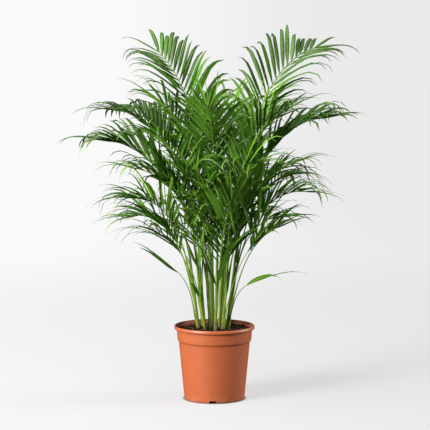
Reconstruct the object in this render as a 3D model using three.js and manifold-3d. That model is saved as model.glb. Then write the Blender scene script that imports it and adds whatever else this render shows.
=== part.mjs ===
// A potted areca palm: a clump of cane-like stems with feathered fronds, in a terracotta-coloured pot.
// Millimetres, +Z up. The front faces -Y. The plant is laid out about the pot's axis, and at the end all of
// it is moved level, so that the origin is on the ground under the middle of the whole potted plant.
// Azimuths are degrees anticlockwise from +X, seen from above. Leans are degrees from upright.
import * as THREE from 'three';
import { mergeVertices } from 'three/addons/utils/BufferGeometryUtils.js';
import Module from 'manifold-3d';

const wasm = await Module();
wasm.setup();

// ---- Driving dimensions -------------------------------------------------------------------------

const POT = {
  height: 220,
  footRadius: 88, // at the ground
  footWidth: 3, // of the ring it stands on
  bodyRadius: 106, // just under the collar
  collarRadius: 112, // just under the rim
  rimRadius: 120,
  collarHeight: 36,
  rimHeight: 12,
  wall: 2.2,
  floorHeight: 9, // underside of the floor above the ground
  sides: 36,
};
const NOTCH = { count: 3, azimuth: 267, width: 25, topWidth: 18, height: 8 }; // drain notches in the foot
const DRAIN = { count: 6, radius: 6, circle: 58, sides: 8 }; // drain holes in the floor
const SOIL = { depth: 13, lump: 3, sides: 24 }; // depth of its surface below the rim

const GAP = 0.35; // between two pieces that touch in the real plant
const REST = 0.05; // a stalk stands this much clear of the gap
const STEM = { radius: 4.9, topRadius: 3.6, sides: 7, buried: 45 };
const SPEAR = { stem: 8, from: 0.9, azimuth: 20, lean: 4, radius: 2.6, length: 590, sides: 5, segments: 2 };
const STALK = { sides: 3, bareSegments: 2, tipShare: 0.5, late: 2 };
const MOST_LEAN = 168; // of a leaflet that hangs over

// Every leaflet. `neck` is half its width at the root, and at least `neckShare` of the stalk's radius. The
// blade reaches its full width within a third of its length, and narrows over the last part to a point.
// Past `curlFrom` of its length it goes limp. `fullness` is the stretch of a sine wave by which the leaflets
// get longer and shorter again along a frond.
const LEAFLET = {
  sides: 3,
  segments: 3,
  depth: 0.8,
  neck: 0.4,
  neckShare: 0.25,
  widening: 3,
  narrowing: 2.4,
  late: 1.7,
  curlFrom: 0.7,
  fullness: [0.27, 0.8],
};
// How far a leaflet grows out level, from none to all, for it to turn its blade flat to the sky, and the
// share of its length along which it turns.
const LEVELLING = { none: 0.25, all: 0.7, by: 0.5 };
const UNEVEN = { length: 0.08, droop: 0.25, twist: 28 }; // how much one leaflet differs from the next
const TERMINAL = { spread: 17, share: 0.8, apart: 2, limpness: 0.45 }; // the last pair of a frond
const SUNK = { share: 0.1, perRaise: 0.5, flushRaise: 30 }; // a leaflet's root, by the stalk's radius

// What every frond of a kind shares. `bare` is the share of the stalk below the first leaflet, `leaflet` the
// length of the longest one, `blade` half its width and `stalk` the stalk's radius at its foot. `spread` is
// the angle between leaflet and stalk at the lowest and at the uppermost pair, `raise` how far the leaflets
// of the lowest pair stand up out of the frond's plane, `droop` how far a leaflet that grows out level has
// bent down by its tip, `curl` how much further its limp end bends, `fold` how far its outer edge is turned
// down, and `level` how readily it turns its blade flat to the sky.
const KINDS = {
  crown: {
    pairs: 10, bare: 0.44, leaflet: 190, blade: 6.2, stalk: 2.9,
    spread: [44, 30], raise: 30, droop: 56, fold: 10, curl: 50, level: 1,
  },
  heart: {
    pairs: 10, bare: 0.4, leaflet: 190, blade: 6.2, stalk: 2.8,
    spread: [40, 28], raise: 34, droop: 60, fold: 15, curl: 50, level: 1,
  },
  inner: {
    pairs: 6, bare: 0.34, leaflet: 185, blade: 6.4, stalk: 2.6,
    spread: [38, 28], raise: 30, droop: 50, fold: 20, curl: 45, level: 1,
  },
  side: {
    pairs: 8, bare: 0.46, leaflet: 175, blade: 5.4, stalk: 2.6,
    spread: [48, 32], raise: 32, droop: 80, fold: 20, curl: 30, level: 1,
  },
  low: {
    pairs: 4, bare: 0.58, leaflet: 170, blade: 5.2, stalk: 2.3,
    spread: [46, 32], raise: 28, droop: 90, fold: 20, curl: 30, level: 1,
  },
  young: {
    pairs: 1, bare: 0.86, leaflet: 225, blade: 9.5, stalk: 2.1,
    spread: [20, 20], raise: 10, droop: 70, fold: 52, curl: 30, level: 0.3,
  },
  broad: {
    pairs: 1, bare: 0.8, leaflet: 190, blade: 11.5, stalk: 2.4,
    spread: [10, 10], raise: 12, droop: 40, fold: 12, curl: 120, level: 0,
  },
  sprout: {
    pairs: 1, bare: 0.7, leaflet: 62, blade: 5.5, stalk: 1.8,
    spread: [30, 30], raise: 10, droop: 40, fold: 30, curl: 20, level: 0,
  },
};

// Stems: the foot on the soil, the way the stem leans and how much, and its height above the soil.
const STEMS = [
  { x: -47, y: 8, azimuth: 178, lean: 7, height: 215 },
  { x: -34, y: 34, azimuth: 150, lean: 6, height: 225 },
  { x: -28, y: -4, azimuth: 200, lean: 5, height: 205 },
  { x: -13, y: 8, azimuth: 190, lean: 3, height: 235 },
  { x: -8, y: 34, azimuth: 110, lean: 4, height: 240 },
  { x: 3, y: -18, azimuth: 300, lean: 3, height: 225 },
  { x: 15, y: 12, azimuth: 30, lean: 2, height: 245 },
  { x: 24, y: -10, azimuth: 330, lean: 5, height: 215 },
  { x: 37, y: 10, azimuth: 5, lean: 7, height: 225 },
  { x: 43, y: 34, azimuth: 40, lean: 7, height: 215 },
  { x: -4, y: 56, azimuth: 95, lean: 7, height: 220 },
  { x: 22, y: 50, azimuth: 70, lean: 6, height: 225 },
];

// Fronds: the stem each grows from and how far up it, the way it leads, its lean there, how much further it
// has bent over by its tip, and the length of its stalk. `roll` lifts its right side and lowers its left.
const FRONDS = [
  { kind: 'crown', stem: 4, from: 1, azimuth: 128, lean: 6, bend: 56, length: 675, roll: 20 },
  { kind: 'crown', stem: 8, from: 1, azimuth: 44, lean: 5, bend: 76, length: 765, roll: -20 },
  { kind: 'crown', stem: 9, from: 1, azimuth: 10, lean: 9, bend: 76, length: 540 },
  { kind: 'crown', stem: 1, from: 1, azimuth: 148, lean: 9, bend: 80, length: 560 },
  { kind: 'crown', stem: 0, from: 1, azimuth: 186, lean: 11, bend: 74, length: 460 },
  { kind: 'heart', stem: 10, from: 1, azimuth: 96, lean: 8, bend: 74, length: 560 },
  { kind: 'heart', stem: 5, from: 1, azimuth: 262, lean: 6, bend: 52, length: 500 },
  { kind: 'heart', stem: 3, from: 1, azimuth: 228, lean: 5, bend: 54, length: 500 },
  { kind: 'heart', stem: 7, from: 1, azimuth: 322, lean: 6, bend: 60, length: 520 },
  { kind: 'side', stem: 11, from: 1, azimuth: 54, lean: 7, bend: 84, length: 570 },
  { kind: 'side', stem: 2, from: 1, azimuth: 222, lean: 4, bend: 64, length: 450 },
  { kind: 'side', stem: 0, from: 0.8, azimuth: 200, lean: 12, bend: 80, length: 330 },
  { kind: 'side', stem: 0, from: 0.65, azimuth: 165, lean: 13, bend: 86, length: 310 },
  { kind: 'side', stem: 8, from: 0.8, azimuth: 8, lean: 14, bend: 84, length: 350 },
  { kind: 'side', stem: 9, from: 0.8, azimuth: 40, lean: 13, bend: 80, length: 400 },
  { kind: 'side', stem: 10, from: 0.8, azimuth: 116, lean: 14, bend: 80, length: 440 },
  { kind: 'side', stem: 6, from: 0.8, azimuth: 296, lean: 10, bend: 74, length: 420 },
  { kind: 'inner', stem: 6, from: 1, azimuth: 80, lean: 4, bend: 44, length: 450 },
  { kind: 'inner', stem: 3, from: 0.6, azimuth: 250, lean: 6, bend: 30, length: 360 },
  { kind: 'inner', stem: 5, from: 0.5, azimuth: 300, lean: 6, bend: 30, length: 330 },
  { kind: 'inner', stem: 6, from: 0.7, azimuth: 20, lean: 5, bend: 34, length: 420 },
  { kind: 'inner', stem: 2, from: 0.8, azimuth: 200, lean: 7, bend: 36, length: 340 },
  { kind: 'inner', stem: 7, from: 0.7, azimuth: 340, lean: 8, bend: 36, length: 340 },
  { kind: 'inner', stem: 4, from: 0.8, azimuth: 120, lean: 6, bend: 34, length: 400 },
  { kind: 'inner', stem: 11, from: 0.7, azimuth: 60, lean: 8, bend: 36, length: 380 },
  { kind: 'low', stem: 8, from: 0.65, azimuth: 345, lean: 9, bend: 79, length: 280 },
  { kind: 'low', stem: 9, from: 0.5, azimuth: 20, lean: 16, bend: 53, length: 264 },
  { kind: 'low', stem: 1, from: 0.5, azimuth: 155, lean: 18, bend: 60, length: 250 },
  { kind: 'broad', stem: 2, from: 0.6, azimuth: 245, lean: 5, bend: 12, length: 90 },
  { kind: 'low', stem: 11, from: 0.6, azimuth: 60, lean: 18, bend: 66, length: 300 },
  { kind: 'broad', stem: 5, from: 0.42, azimuth: 285, lean: 5, bend: 12, length: 80 },
  { kind: 'low', stem: 10, from: 0.5, azimuth: 130, lean: 16, bend: 60, length: 270 },
  { kind: 'young', stem: 0, from: 0.35, azimuth: 186, lean: 9, bend: 46, length: 150 },
  { kind: 'young', stem: 2, from: 0.5, azimuth: 190, lean: 13, bend: 39, length: 270 },
  { kind: 'young', stem: 8, from: 0.3, azimuth: 322, lean: 16, bend: 54, length: 130 },
  { kind: 'young', stem: 7, from: 0.4, azimuth: 340, lean: 14, bend: 24, length: 210 },
  { kind: 'young', stem: 10, from: 0.4, azimuth: 100, lean: 16, bend: 34, length: 220 },
  { kind: 'sprout', stem: 2, from: 0.4, azimuth: 235, lean: 10, bend: 20, length: 60 },
  { kind: 'inner', stem: 2, from: 0.75, azimuth: 268, lean: 5, bend: 30, length: 300 },
  { kind: 'inner', stem: 7, from: 0.6, azimuth: 285, lean: 5, bend: 32, length: 300 },
  { kind: 'side', stem: 3, from: 0.85, azimuth: 192, lean: 14, bend: 66, length: 380 },
  { kind: 'side', stem: 7, from: 0.85, azimuth: 350, lean: 12, bend: 62, length: 400 },
];

// Turns and extra bends, in degrees, tried in this order on a piece until it is clear of those in place.
const WAYS = [
  { turn: 0, extra: 0 },
  ...[5, 10, 16, 24].flatMap((step) => [
    { turn: step, extra: 0 },
    { turn: -step, extra: 0 },
    { turn: 0, extra: step },
    { turn: 0, extra: -step },
    { turn: step, extra: step },
    { turn: -step, extra: step },
  ]),
];

// ---- Derived sizes ------------------------------------------------------------------------------

const underRim = POT.height - POT.rimHeight;
const underCollar = underRim - POT.collarHeight;
const floorTop = POT.floorHeight + POT.wall;
const soilTop = POT.height - SOIL.depth;
const UP = new THREE.Vector3(0, 0, 1);
const taper = (z) => THREE.MathUtils.mapLinear(z, 0, underCollar, POT.footRadius + 1.5, POT.bodyRadius);

const MATERIALS = {
  pot: new THREE.MeshStandardMaterial({ color: 0xc4623c, roughness: 0.55, metalness: 0 }),
  soil: new THREE.MeshStandardMaterial({ color: 0x2b1d14, roughness: 1, metalness: 0 }),
  stem: new THREE.MeshStandardMaterial({ color: 0x7f9b2e, roughness: 0.5, metalness: 0 }),
  frond: new THREE.MeshStandardMaterial({ color: 0x2f6a12, roughness: 0.45, metalness: 0 }),
};

// ---- Solids and meshes --------------------------------------------------------------------------

function solidOf(geometry) {
  geometry.deleteAttribute('normal');
  geometry.deleteAttribute('uv');
  const merged = mergeVertices(geometry);
  return new wasm.Manifold(
    new wasm.Mesh({
      numProp: 3,
      vertProperties: merged.getAttribute('position').array,
      triVerts: new Uint32Array(merged.index.array),
    }),
  );
}

function meshOf(name, solid, material) {
  const made = solid.getMesh();
  const geometry = new THREE.BufferGeometry();
  geometry.setAttribute('position', new THREE.BufferAttribute(made.vertProperties, made.numProp));
  geometry.setIndex(new THREE.BufferAttribute(made.triVerts, 1));
  geometry.computeVertexNormals();
  const mesh = new THREE.Mesh(geometry, material);
  mesh.name = name;
  return mesh;
}

const numbered = (word, index) => `${word}_${String(index + 1).padStart(2, '0')}`;

// ---- Pot and soil -------------------------------------------------------------------------------

function lathe(profile, sides) {
  const outline = profile.map(([r, z]) => new THREE.Vector2(r, z));
  return new THREE.LatheGeometry(outline, sides).rotateX(Math.PI / 2);
}

// A wedge that cuts one notch through the foot ring, at `azimuth`.
function notchCutter(azimuth) {
  const reach = 20;
  const outline = new THREE.Shape();
  outline.moveTo(-NOTCH.width / 2, -1);
  outline.lineTo(NOTCH.width / 2, -1);
  outline.lineTo(NOTCH.topWidth / 2, NOTCH.height);
  outline.lineTo(-NOTCH.topWidth / 2, NOTCH.height);
  const wedge = new THREE.ExtrudeGeometry(outline, { depth: reach, bevelEnabled: false })
    .rotateX(Math.PI / 2)
    .translate(0, reach - POT.footRadius - 5, 0)
    .rotateZ(radians(azimuth + 90));
  return solidOf(wedge);
}

function drainCutter(azimuth) {
  const hole = new THREE.CylinderGeometry(DRAIN.radius, DRAIN.radius, 10, DRAIN.sides)
    .rotateX(Math.PI / 2)
    .translate(DRAIN.circle, 0, POT.floorHeight)
    .rotateZ(radians(azimuth));
  return solidOf(hole);
}

function potSolid() {
  const { wall, rimRadius, collarRadius, bodyRadius, height, floorHeight } = POT;
  const footInside = POT.footRadius - POT.footWidth;
  const body = lathe(
    [
      [0, floorHeight],
      [footInside, floorHeight],
      [footInside, 0],
      [POT.footRadius, 0],
      [taper(5), 5],
      [bodyRadius, underCollar],
      [collarRadius - 2, underCollar + 4],
      [collarRadius, underRim],
      [rimRadius - 1.5, underRim + 1],
      [rimRadius, underRim + 5],
      [rimRadius - 2, height - 1],
      [rimRadius - 6, height],
      [collarRadius - wall + 1, height - 6],
      [collarRadius - wall - 2, underCollar + 3],
      [bodyRadius - wall, underCollar - 3],
      [taper(floorTop) - wall, floorTop],
      [0, floorTop],
    ],
    POT.sides,
  );
  const cutters = [];
  for (let i = 0; i < NOTCH.count; i++) cutters.push(notchCutter(NOTCH.azimuth + (i * 360) / NOTCH.count));
  for (let i = 0; i < DRAIN.count; i++) cutters.push(drainCutter(((i + 0.5) * 360) / DRAIN.count));
  return wasm.Manifold.difference([solidOf(body), ...cutters]);
}

// The root ball's soil: it fills the pot and is lumpy on top.
function soilSolid() {
  const clearance = POT.wall + GAP;
  const geometry = lathe(
    [
      [0, floorTop + GAP],
      [taper(floorTop) - clearance - 1, floorTop + GAP],
      [POT.bodyRadius - clearance - 1, underCollar - 4],
      [POT.collarRadius - clearance - 2.5, underCollar + 3],
      [POT.collarRadius - clearance - 2, soilTop],
      [76, soilTop],
      [40, soilTop],
      [0, soilTop],
    ],
    SOIL.sides,
  );
  const vertices = geometry.getAttribute('position');
  for (let i = 0; i < vertices.count; i++) {
    const [x, y, z] = [vertices.getX(i), vertices.getY(i), vertices.getZ(i)];
    if (z < soilTop - 1) continue;
    const lump = Math.sin(x * 0.09 + 1) * Math.cos(y * 0.11) + 0.6 * Math.sin(x * 0.21 - y * 0.17);
    vertices.setZ(i, z + SOIL.lump * lump);
  }
  return solidOf(geometry);
}

// ---- Growing ------------------------------------------------------------------------------------

function radians(angle) {
  return THREE.MathUtils.degToRad(angle);
}

function heading(azimuth, lean) {
  const [turn, tilt] = [radians(azimuth), radians(lean)];
  return new THREE.Vector3(Math.sin(tilt) * Math.cos(turn), Math.sin(tilt) * Math.sin(turn), Math.cos(tilt));
}

// The line of a stalk or leaflet that leaves `root` and bends over, mostly towards its tip. Its limp end
// bends further by `curl`.
function bendingLine(root, azimuth, lean, bend, length, late, { steps = 10, curl = 0 } = {}) {
  const points = [root.clone()];
  for (let step = 0; step < steps; step++) {
    const share = (step + 0.5) / steps;
    const limp = Math.max(0, THREE.MathUtils.mapLinear(share, LEAFLET.curlFrom, 1, 0, 1));
    const tilt = Math.min(lean + bend * share ** late + curl * limp, MOST_LEAN);
    points.push(points[step].clone().addScaledVector(heading(azimuth, tilt), length / steps));
  }
  return new THREE.CatmullRomCurve3(points);
}

const untwisted = () => 0;

// Splits each four-cornered face between two rings along the diagonal on which it bulges outwards, because
// a thin blade that turns as it grows would otherwise fold through itself.
function bulgeOut(shape) {
  const index = shape.getIndex();
  const vertices = shape.getAttribute('position');
  const corner = (i) => new THREE.Vector3().fromBufferAttribute(vertices, i);
  for (let i = 0; i + 3 < index.count; i += 3) {
    const [a, b, d] = [index.getX(i), index.getX(i + 1), index.getX(i + 2)];
    const [next, c, last] = [index.getX(i + 3), index.getX(i + 4), index.getX(i + 5)];
    if (next !== b || last !== d) continue;
    const half = new THREE.Plane().setFromCoplanarPoints(corner(a), corner(b), corner(d));
    if (half.distanceToPoint(corner(c)) <= 0) continue;
    index.setX(i + 2, c);
    index.setX(i + 3, a);
  }
}

// A stalk or blade along a line: each ring of an upright cylinder or cone is moved onto the line and set
// square to it. Its width runs along `level`, a level direction square to the whole line, or is turned out
// of that by `twist`. `spacing` says how far along the line a ring goes.
function grow(line, level, twist, shape, halfWidth, halfDepth, spacing = (share) => share) {
  const vertices = shape.getAttribute('position');
  const corner = new THREE.Vector3();
  for (let i = 0; i < vertices.count; i++) {
    corner.fromBufferAttribute(vertices, i);
    const t = spacing(corner.y + 0.5);
    const radius = Math.hypot(corner.x, corner.z) || 1;
    const along = line.getTangent(t);
    const across = level.clone().applyAxisAngle(along, -twist(t));
    const ridge = across.clone().cross(along);
    const place = line
      .getPoint(t)
      .addScaledVector(across, (halfWidth(t) * corner.x) / radius)
      .addScaledVector(ridge, (halfDepth(t) * corner.z) / radius);
    vertices.setXYZ(i, place.x, place.y, place.z);
  }
  bulgeOut(shape);
  return solidOf(shape);
}

const rod = (sides, segments) => new THREE.CylinderGeometry(1, 1, 1, sides, segments);
const spike = (sides, segments) => new THREE.ConeGeometry(1, 1, sides, segments);

// A number from -1 to 1 that looks random and is the same at every build.
const uneven = (seed) => 2 * ((Math.sin(seed * 12.9898) * 43758.5453) % 1);

// ---- Keeping pieces clear of each other ---------------------------------------------------------

const inPlace = [];

function keep(owner, solid) {
  inPlace.push({ owner, solid, box: solid.boundingBox() });
}

function boxesMeet(a, b) {
  const overlap = (axis) => a.min[axis] < b.max[axis] + GAP && b.min[axis] < a.max[axis] + GAP;
  return overlap(0) && overlap(1) && overlap(2);
}

function isClear(solid, joined) {
  const box = solid.boundingBox();
  return inPlace.every(
    (other) =>
      joined.includes(other.owner) || !boxesMeet(box, other.box) || solid.minGap(other.solid, 2 * GAP) > GAP,
  );
}

// The piece made the first way in which it is clear of all that is in place, save what it is joined to, or
// undefined.
function settle(owner, joined, make) {
  for (const way of WAYS) {
    const made = make(way);
    if (isClear(made.solid, joined)) {
      keep(owner, made.solid);
      return made;
    }
    made.solid.delete();
  }
  return undefined;
}

// ---- Stems --------------------------------------------------------------------------------------

function stemLine({ x, y, azimuth, lean, height }) {
  const foot = new THREE.Vector3(x, y, soilTop).addScaledVector(heading(azimuth, lean), -STEM.buried);
  const length = STEM.buried + height / Math.cos(radians(lean));
  return bendingLine(foot, azimuth, lean, 0, length, 1, { steps: 1 });
}

const stemRadius = (t) => THREE.MathUtils.lerp(STEM.radius, STEM.topRadius, t);

function stemSolid(line, spare = 0) {
  const radius = (t) => stemRadius(t) + spare;
  const level = line.getTangent(0).cross(UP).normalize();
  return grow(line, level, untwisted, rod(STEM.sides, 1), radius, radius);
}

// Where a stalk of `radius` starts: on top of its stem, or against its side.
function footOn(line, from, azimuth, lean, radius) {
  const foot = line.getPoint(from);
  const upwards = line.getTangent(from);
  const start = heading(azimuth, lean);
  const sweep = radius * Math.sin(start.angleTo(upwards));
  if (from === 1) return foot.addScaledVector(upwards, sweep + GAP + REST);
  return foot.addScaledVector(heading(azimuth, 90), stemRadius(from) + radius + GAP + REST);
}

// ---- Fronds -------------------------------------------------------------------------------------

function stalkOf(frond, way) {
  const kind = KINDS[frond.kind];
  const azimuth = frond.azimuth + way.turn;
  const foot = footOn(stemLines[frond.stem], frond.from, azimuth, frond.lean, kind.stalk);
  const line = bendingLine(foot, azimuth, frond.lean, frond.bend + way.extra, frond.length, STALK.late);
  const across = heading(azimuth - 90, 90);
  const radius = (t) => THREE.MathUtils.lerp(kind.stalk, kind.stalk * STALK.tipShare, t);
  // Above the bare part, two pairs of leaflets sit between every two rings, so that none crosses an edge.
  const segments = STALK.bareSegments + Math.max(1, kind.pairs / 2);
  const bareShare = STALK.bareSegments / segments;
  const spacing = (share) =>
    share < bareShare
      ? (kind.bare * share) / bareShare
      : THREE.MathUtils.mapLinear(share, bareShare, 1, kind.bare, 1);
  const rings = Array.from({ length: segments + 1 }, (_, ring) => line.getPoint(spacing(ring / segments)));
  const seat = (pair) => {
    const ring = STALK.bareSegments + Math.floor(pair / 2);
    return rings[ring].clone().lerp(rings[ring + 1], pair % 2 ? 0.75 : 0.25);
  };
  const solid = grow(line, across, untwisted, rod(STALK.sides, segments), radius, radius, spacing);
  return { line, across, radius, seat, solid };
}

// `side` is 1 on the right of the frond, seen from above, and -1 on its left. The root is sunk in the stalk.
function leafletOf(frond, stalk, pair, side, way) {
  const kind = KINDS[frond.kind];
  const share = (pair + 0.5) / kind.pairs;
  const isLast = pair === kind.pairs - 1;
  const t = THREE.MathUtils.lerp(kind.bare, 1, share);
  const seed = frond.seed + pair * 2 + side;
  const along = stalk.line.getTangent(t);
  const upper = stalk.across.clone().cross(along);
  const spread = radians(
    isLast ? TERMINAL.spread + TERMINAL.apart * side : THREE.MathUtils.lerp(...kind.spread, share),
  );
  const raise = radians(THREE.MathUtils.lerp(kind.raise, kind.raise / 2, share) + side * (frond.roll ?? 0));
  const outwards = stalk.across
    .clone()
    .multiplyScalar(side * Math.cos(raise))
    .addScaledVector(upper, Math.sin(raise));
  const leads = along.clone().multiplyScalar(Math.cos(spread)).addScaledVector(outwards, Math.sin(spread));
  const steepness = Math.tan(raise) - Math.tan(radians(SUNK.flushRaise));
  const sunk = stalk.radius(t) * (SUNK.share + SUNK.perRaise * steepness);
  const root = stalk.seat(pair).addScaledVector(upper, -sunk);
  const levelness = 1 - leads.z ** 2;
  const phase = Math.PI * THREE.MathUtils.lerp(...LEAFLET.fullness, share);
  const fullness = isLast ? TERMINAL.share : Math.sin(phase);
  const limpness = (isLast ? TERMINAL.limpness : 1) * (1 + UNEVEN.droop * uneven(seed + 0.5));
  const azimuth = THREE.MathUtils.radToDeg(Math.atan2(leads.y, leads.x)) + way.turn;
  const line = bendingLine(
    root,
    azimuth,
    THREE.MathUtils.radToDeg(Math.acos(leads.z)),
    kind.droop * (0.15 + levelness) * limpness + way.extra,
    kind.leaflet * fullness * (1 + UNEVEN.length * uneven(seed)),
    LEAFLET.late,
    { curl: kind.curl * limpness },
  );
  const neck = Math.max(LEAFLET.neck, stalk.radius(t) * LEAFLET.neckShare);
  const width = (s) =>
    Math.min(kind.blade, neck + LEAFLET.widening * s * kind.blade, LEAFLET.narrowing * (1 - s) * kind.blade);
  const depth = (s) => Math.min(LEAFLET.depth, neck + s * LEAFLET.depth);
  // The blade grows out with its width along the stalk, its outer edge folded down, then turns to the sky.
  // It doesn't turn below its first ring, because so narrow a neck would fold through itself.
  const firstRing = 1 / LEAFLET.segments;
  const level = heading(azimuth - 90, 90);
  const ridge = level.clone().cross(line.getTangent(0));
  const inline = Math.atan2(-side * along.dot(ridge), -side * along.dot(level));
  const folded = inline - side * radians(kind.fold) + radians(UNEVEN.twist) * uneven(seed + 0.25);
  const start = THREE.MathUtils.euclideanModulo(folded + Math.PI / 2, Math.PI) - Math.PI / 2;
  const levelled = kind.level * THREE.MathUtils.smoothstep(levelness, LEVELLING.none, LEVELLING.all);
  const turned = (s) => THREE.MathUtils.clamp(s, firstRing, LEVELLING.by) / LEVELLING.by;
  const twist = (s) => start * (1 - levelled * turned(s));
  return { solid: grow(line, level, twist, spike(LEAFLET.sides, LEAFLET.segments), width, depth) };
}

// ---- The plant in its pot -----------------------------------------------------------------------

const pot = potSolid();
keep('pot', pot);

const stemLines = STEMS.map(stemLine);
const stems = stemLines.map((line) => stemSolid(line));
stems.forEach((solid, i) => keep(numbered('stem', i), solid));

const wells = stemLines.map((line) => stemSolid(line, GAP));
const soil = wasm.Manifold.difference([soilSolid(), ...wells]);
keep('soil', soil);

const spear = settle('spear', [], (way) => {
  const azimuth = SPEAR.azimuth + way.turn;
  const foot = footOn(stemLines[SPEAR.stem], SPEAR.from, azimuth, SPEAR.lean, SPEAR.radius);
  const line = bendingLine(foot, azimuth, SPEAR.lean, way.extra, SPEAR.length, 1);
  const radius = (t) => SPEAR.radius * (1 - 0.5 * t);
  const shape = spike(SPEAR.sides, SPEAR.segments);
  return { solid: grow(line, heading(azimuth - 90, 90), untwisted, shape, radius, radius) };
});

FRONDS.forEach((frond, i) => {
  frond.name = numbered('frond', i);
  frond.seed = 100 * i;
});
const stalks = FRONDS.map((frond) => settle(frond.name, [], (way) => stalkOf(frond, way)));

function frondSolid(frond, stalk) {
  const parts = [stalk.solid];
  for (let pair = KINDS[frond.kind].pairs - 1; pair >= 0; pair--) {
    const pairName = `${frond.name} pair ${pair}`;
    for (const side of [-1, 1]) {
      const make = (way) => leafletOf(frond, stalk, pair, side, way);
      const leaflet = settle(pairName, [frond.name, pairName], make);
      if (leaflet) parts.push(leaflet.solid);
    }
  }
  return wasm.Manifold.union(parts);
}

const palm = new THREE.Group();
palm.name = 'potted_palm';
palm.add(meshOf('pot', pot, MATERIALS.pot));
palm.add(meshOf('soil', soil, MATERIALS.soil));
stems.forEach((solid, i) => palm.add(meshOf(numbered('stem', i), solid, MATERIALS.stem)));
palm.add(meshOf('spear', spear.solid, MATERIALS.frond));
FRONDS.forEach((frond, i) => palm.add(meshOf(frond.name, frondSolid(frond, stalks[i]), MATERIALS.frond)));

// The origin goes under the middle.
const middle = new THREE.Box3().setFromObject(palm).getCenter(new THREE.Vector3());
palm.children.forEach((mesh) => mesh.geometry.translate(-middle.x, -middle.y, 0));

export default palm;
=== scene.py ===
"""A potted areca palm, dressed for a photograph: fine fronds, canes, potting soil and a moulded pot."""

import math
import random

import bmesh
import bpy
import numpy as np
from bpy.props import FloatProperty, FloatVectorProperty, IntProperty, PointerProperty
from mathutils import Euler, Matrix, Vector, noise
from mathutils.kdtree import KDTree


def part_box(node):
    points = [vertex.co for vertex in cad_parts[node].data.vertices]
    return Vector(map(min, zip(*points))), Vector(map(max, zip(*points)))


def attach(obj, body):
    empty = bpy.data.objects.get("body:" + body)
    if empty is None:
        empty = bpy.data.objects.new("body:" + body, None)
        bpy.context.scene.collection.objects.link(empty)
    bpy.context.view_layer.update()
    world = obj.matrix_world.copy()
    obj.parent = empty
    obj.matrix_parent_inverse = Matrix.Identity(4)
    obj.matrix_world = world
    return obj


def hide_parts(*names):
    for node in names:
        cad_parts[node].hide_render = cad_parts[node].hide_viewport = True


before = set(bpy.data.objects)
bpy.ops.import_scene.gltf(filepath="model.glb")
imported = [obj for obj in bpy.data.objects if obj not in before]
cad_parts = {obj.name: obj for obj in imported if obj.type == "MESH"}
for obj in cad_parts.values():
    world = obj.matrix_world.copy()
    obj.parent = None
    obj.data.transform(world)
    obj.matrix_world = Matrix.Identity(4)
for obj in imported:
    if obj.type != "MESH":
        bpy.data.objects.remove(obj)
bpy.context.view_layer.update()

bl_info = {
    "name": "Potted Areca Palm",
    "version": (1, 0, 0),
    "blender": (4, 5, 0),
    "location": "3D View > Sidebar > Palm",
    "description": "Grows the fine fronds, canes, soil and pot of a potted areca palm around its frame",
    "category": "Add Mesh",
}

POT_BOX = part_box("pot")
# The plant is laid out in millimetres about the pot's axis.
MM = 0.001
AXIS = np.array([(POT_BOX[0].x + POT_BOX[1].x) / 2, (POT_BOX[0].y + POT_BOX[1].y) / 2, 0.0]) / MM
UP = np.array([0.0, 0.0, 1.0])

# ---- The plant's layout, in millimetres and degrees ----

# All of it is as in the solids, but for what dresses them: lumps and crumbs on the soil, scars, swelling and
# waves on the canes, and ribs on the spear.
POT = {
    "height": 220, "foot_radius": 88, "foot_width": 3, "body_radius": 106, "collar_radius": 112,
    "rim_radius": 120, "collar_height": 36, "rim_height": 12, "wall": 2.2, "floor_height": 9,
    "foot_step": 1.5,
}
NOTCH = {"count": 3, "azimuth": 267, "width": 25, "top_width": 18, "height": 8, "deep": 24, "corner": 1.2}
DRAIN = {"count": 6, "radius": 6, "circle": 58, "plug": 12}
# Edges of the pot that bend by more than this, in degrees, look sharp.
POT_SHARP = 35
SOIL_DEPTH = 13
LUMPS = {"height": 2.6, "fine": 2.2}
CRUMB = {
    "seed": 11, "within": 0.97, "sizes": (0.25, 1.0), "lumpy": (0.7, 1.25), "chips": 0.25, "tilt": 0.5,
    "proud": 0.2,
}
GAP = 0.35
REST = 0.05
STEM = {"radius": 4.9, "top_radius": 3.6, "buried": 45}
SCAR = {"seed": 40, "first": (58, 80), "apart": (30, 58), "half_width": 1.8, "height": 0.5}
SWELLING = {"radius": 1.2, "height": 12}
# How much canes vary in thickness, as a share, and in how many waves along and lobes round.
WAVY = {"by": 0.02, "waves": 23, "lobes": 3}
SPEAR = {"stem": 8, "from": 0.9, "azimuth": 20, "lean": 4, "radius": 2.6, "length": 590, "slims": 0.55}
# The spear's folded leaflets show as ribs that wind up it, and it ends in a point.
RIBS = {"count": 5, "depth": 0.1, "wind": 9}
POINT = {"over": 0.2, "tip": 0.06}
STALK = {"bare_segments": 2, "tip_share": 0.5, "late": 2}
LEAFLET = {"late": 1.7, "fullness": (0.27, 0.8), "curl_from": 0.7, "least_droop": 0.15}
LEVELLING = {"from": 0.25, "to": 0.7, "by": 0.5}
UNEVEN = {"length": 0.08, "droop": 0.25, "twist": 28}
TERMINAL = {"spread": 17, "share": 0.8, "apart": 2, "droop": 0.45}
SUNK = {"share": 0.1, "per_raise": 0.5, "flush_raise": 30}
MOST_LEAN = 168

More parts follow.
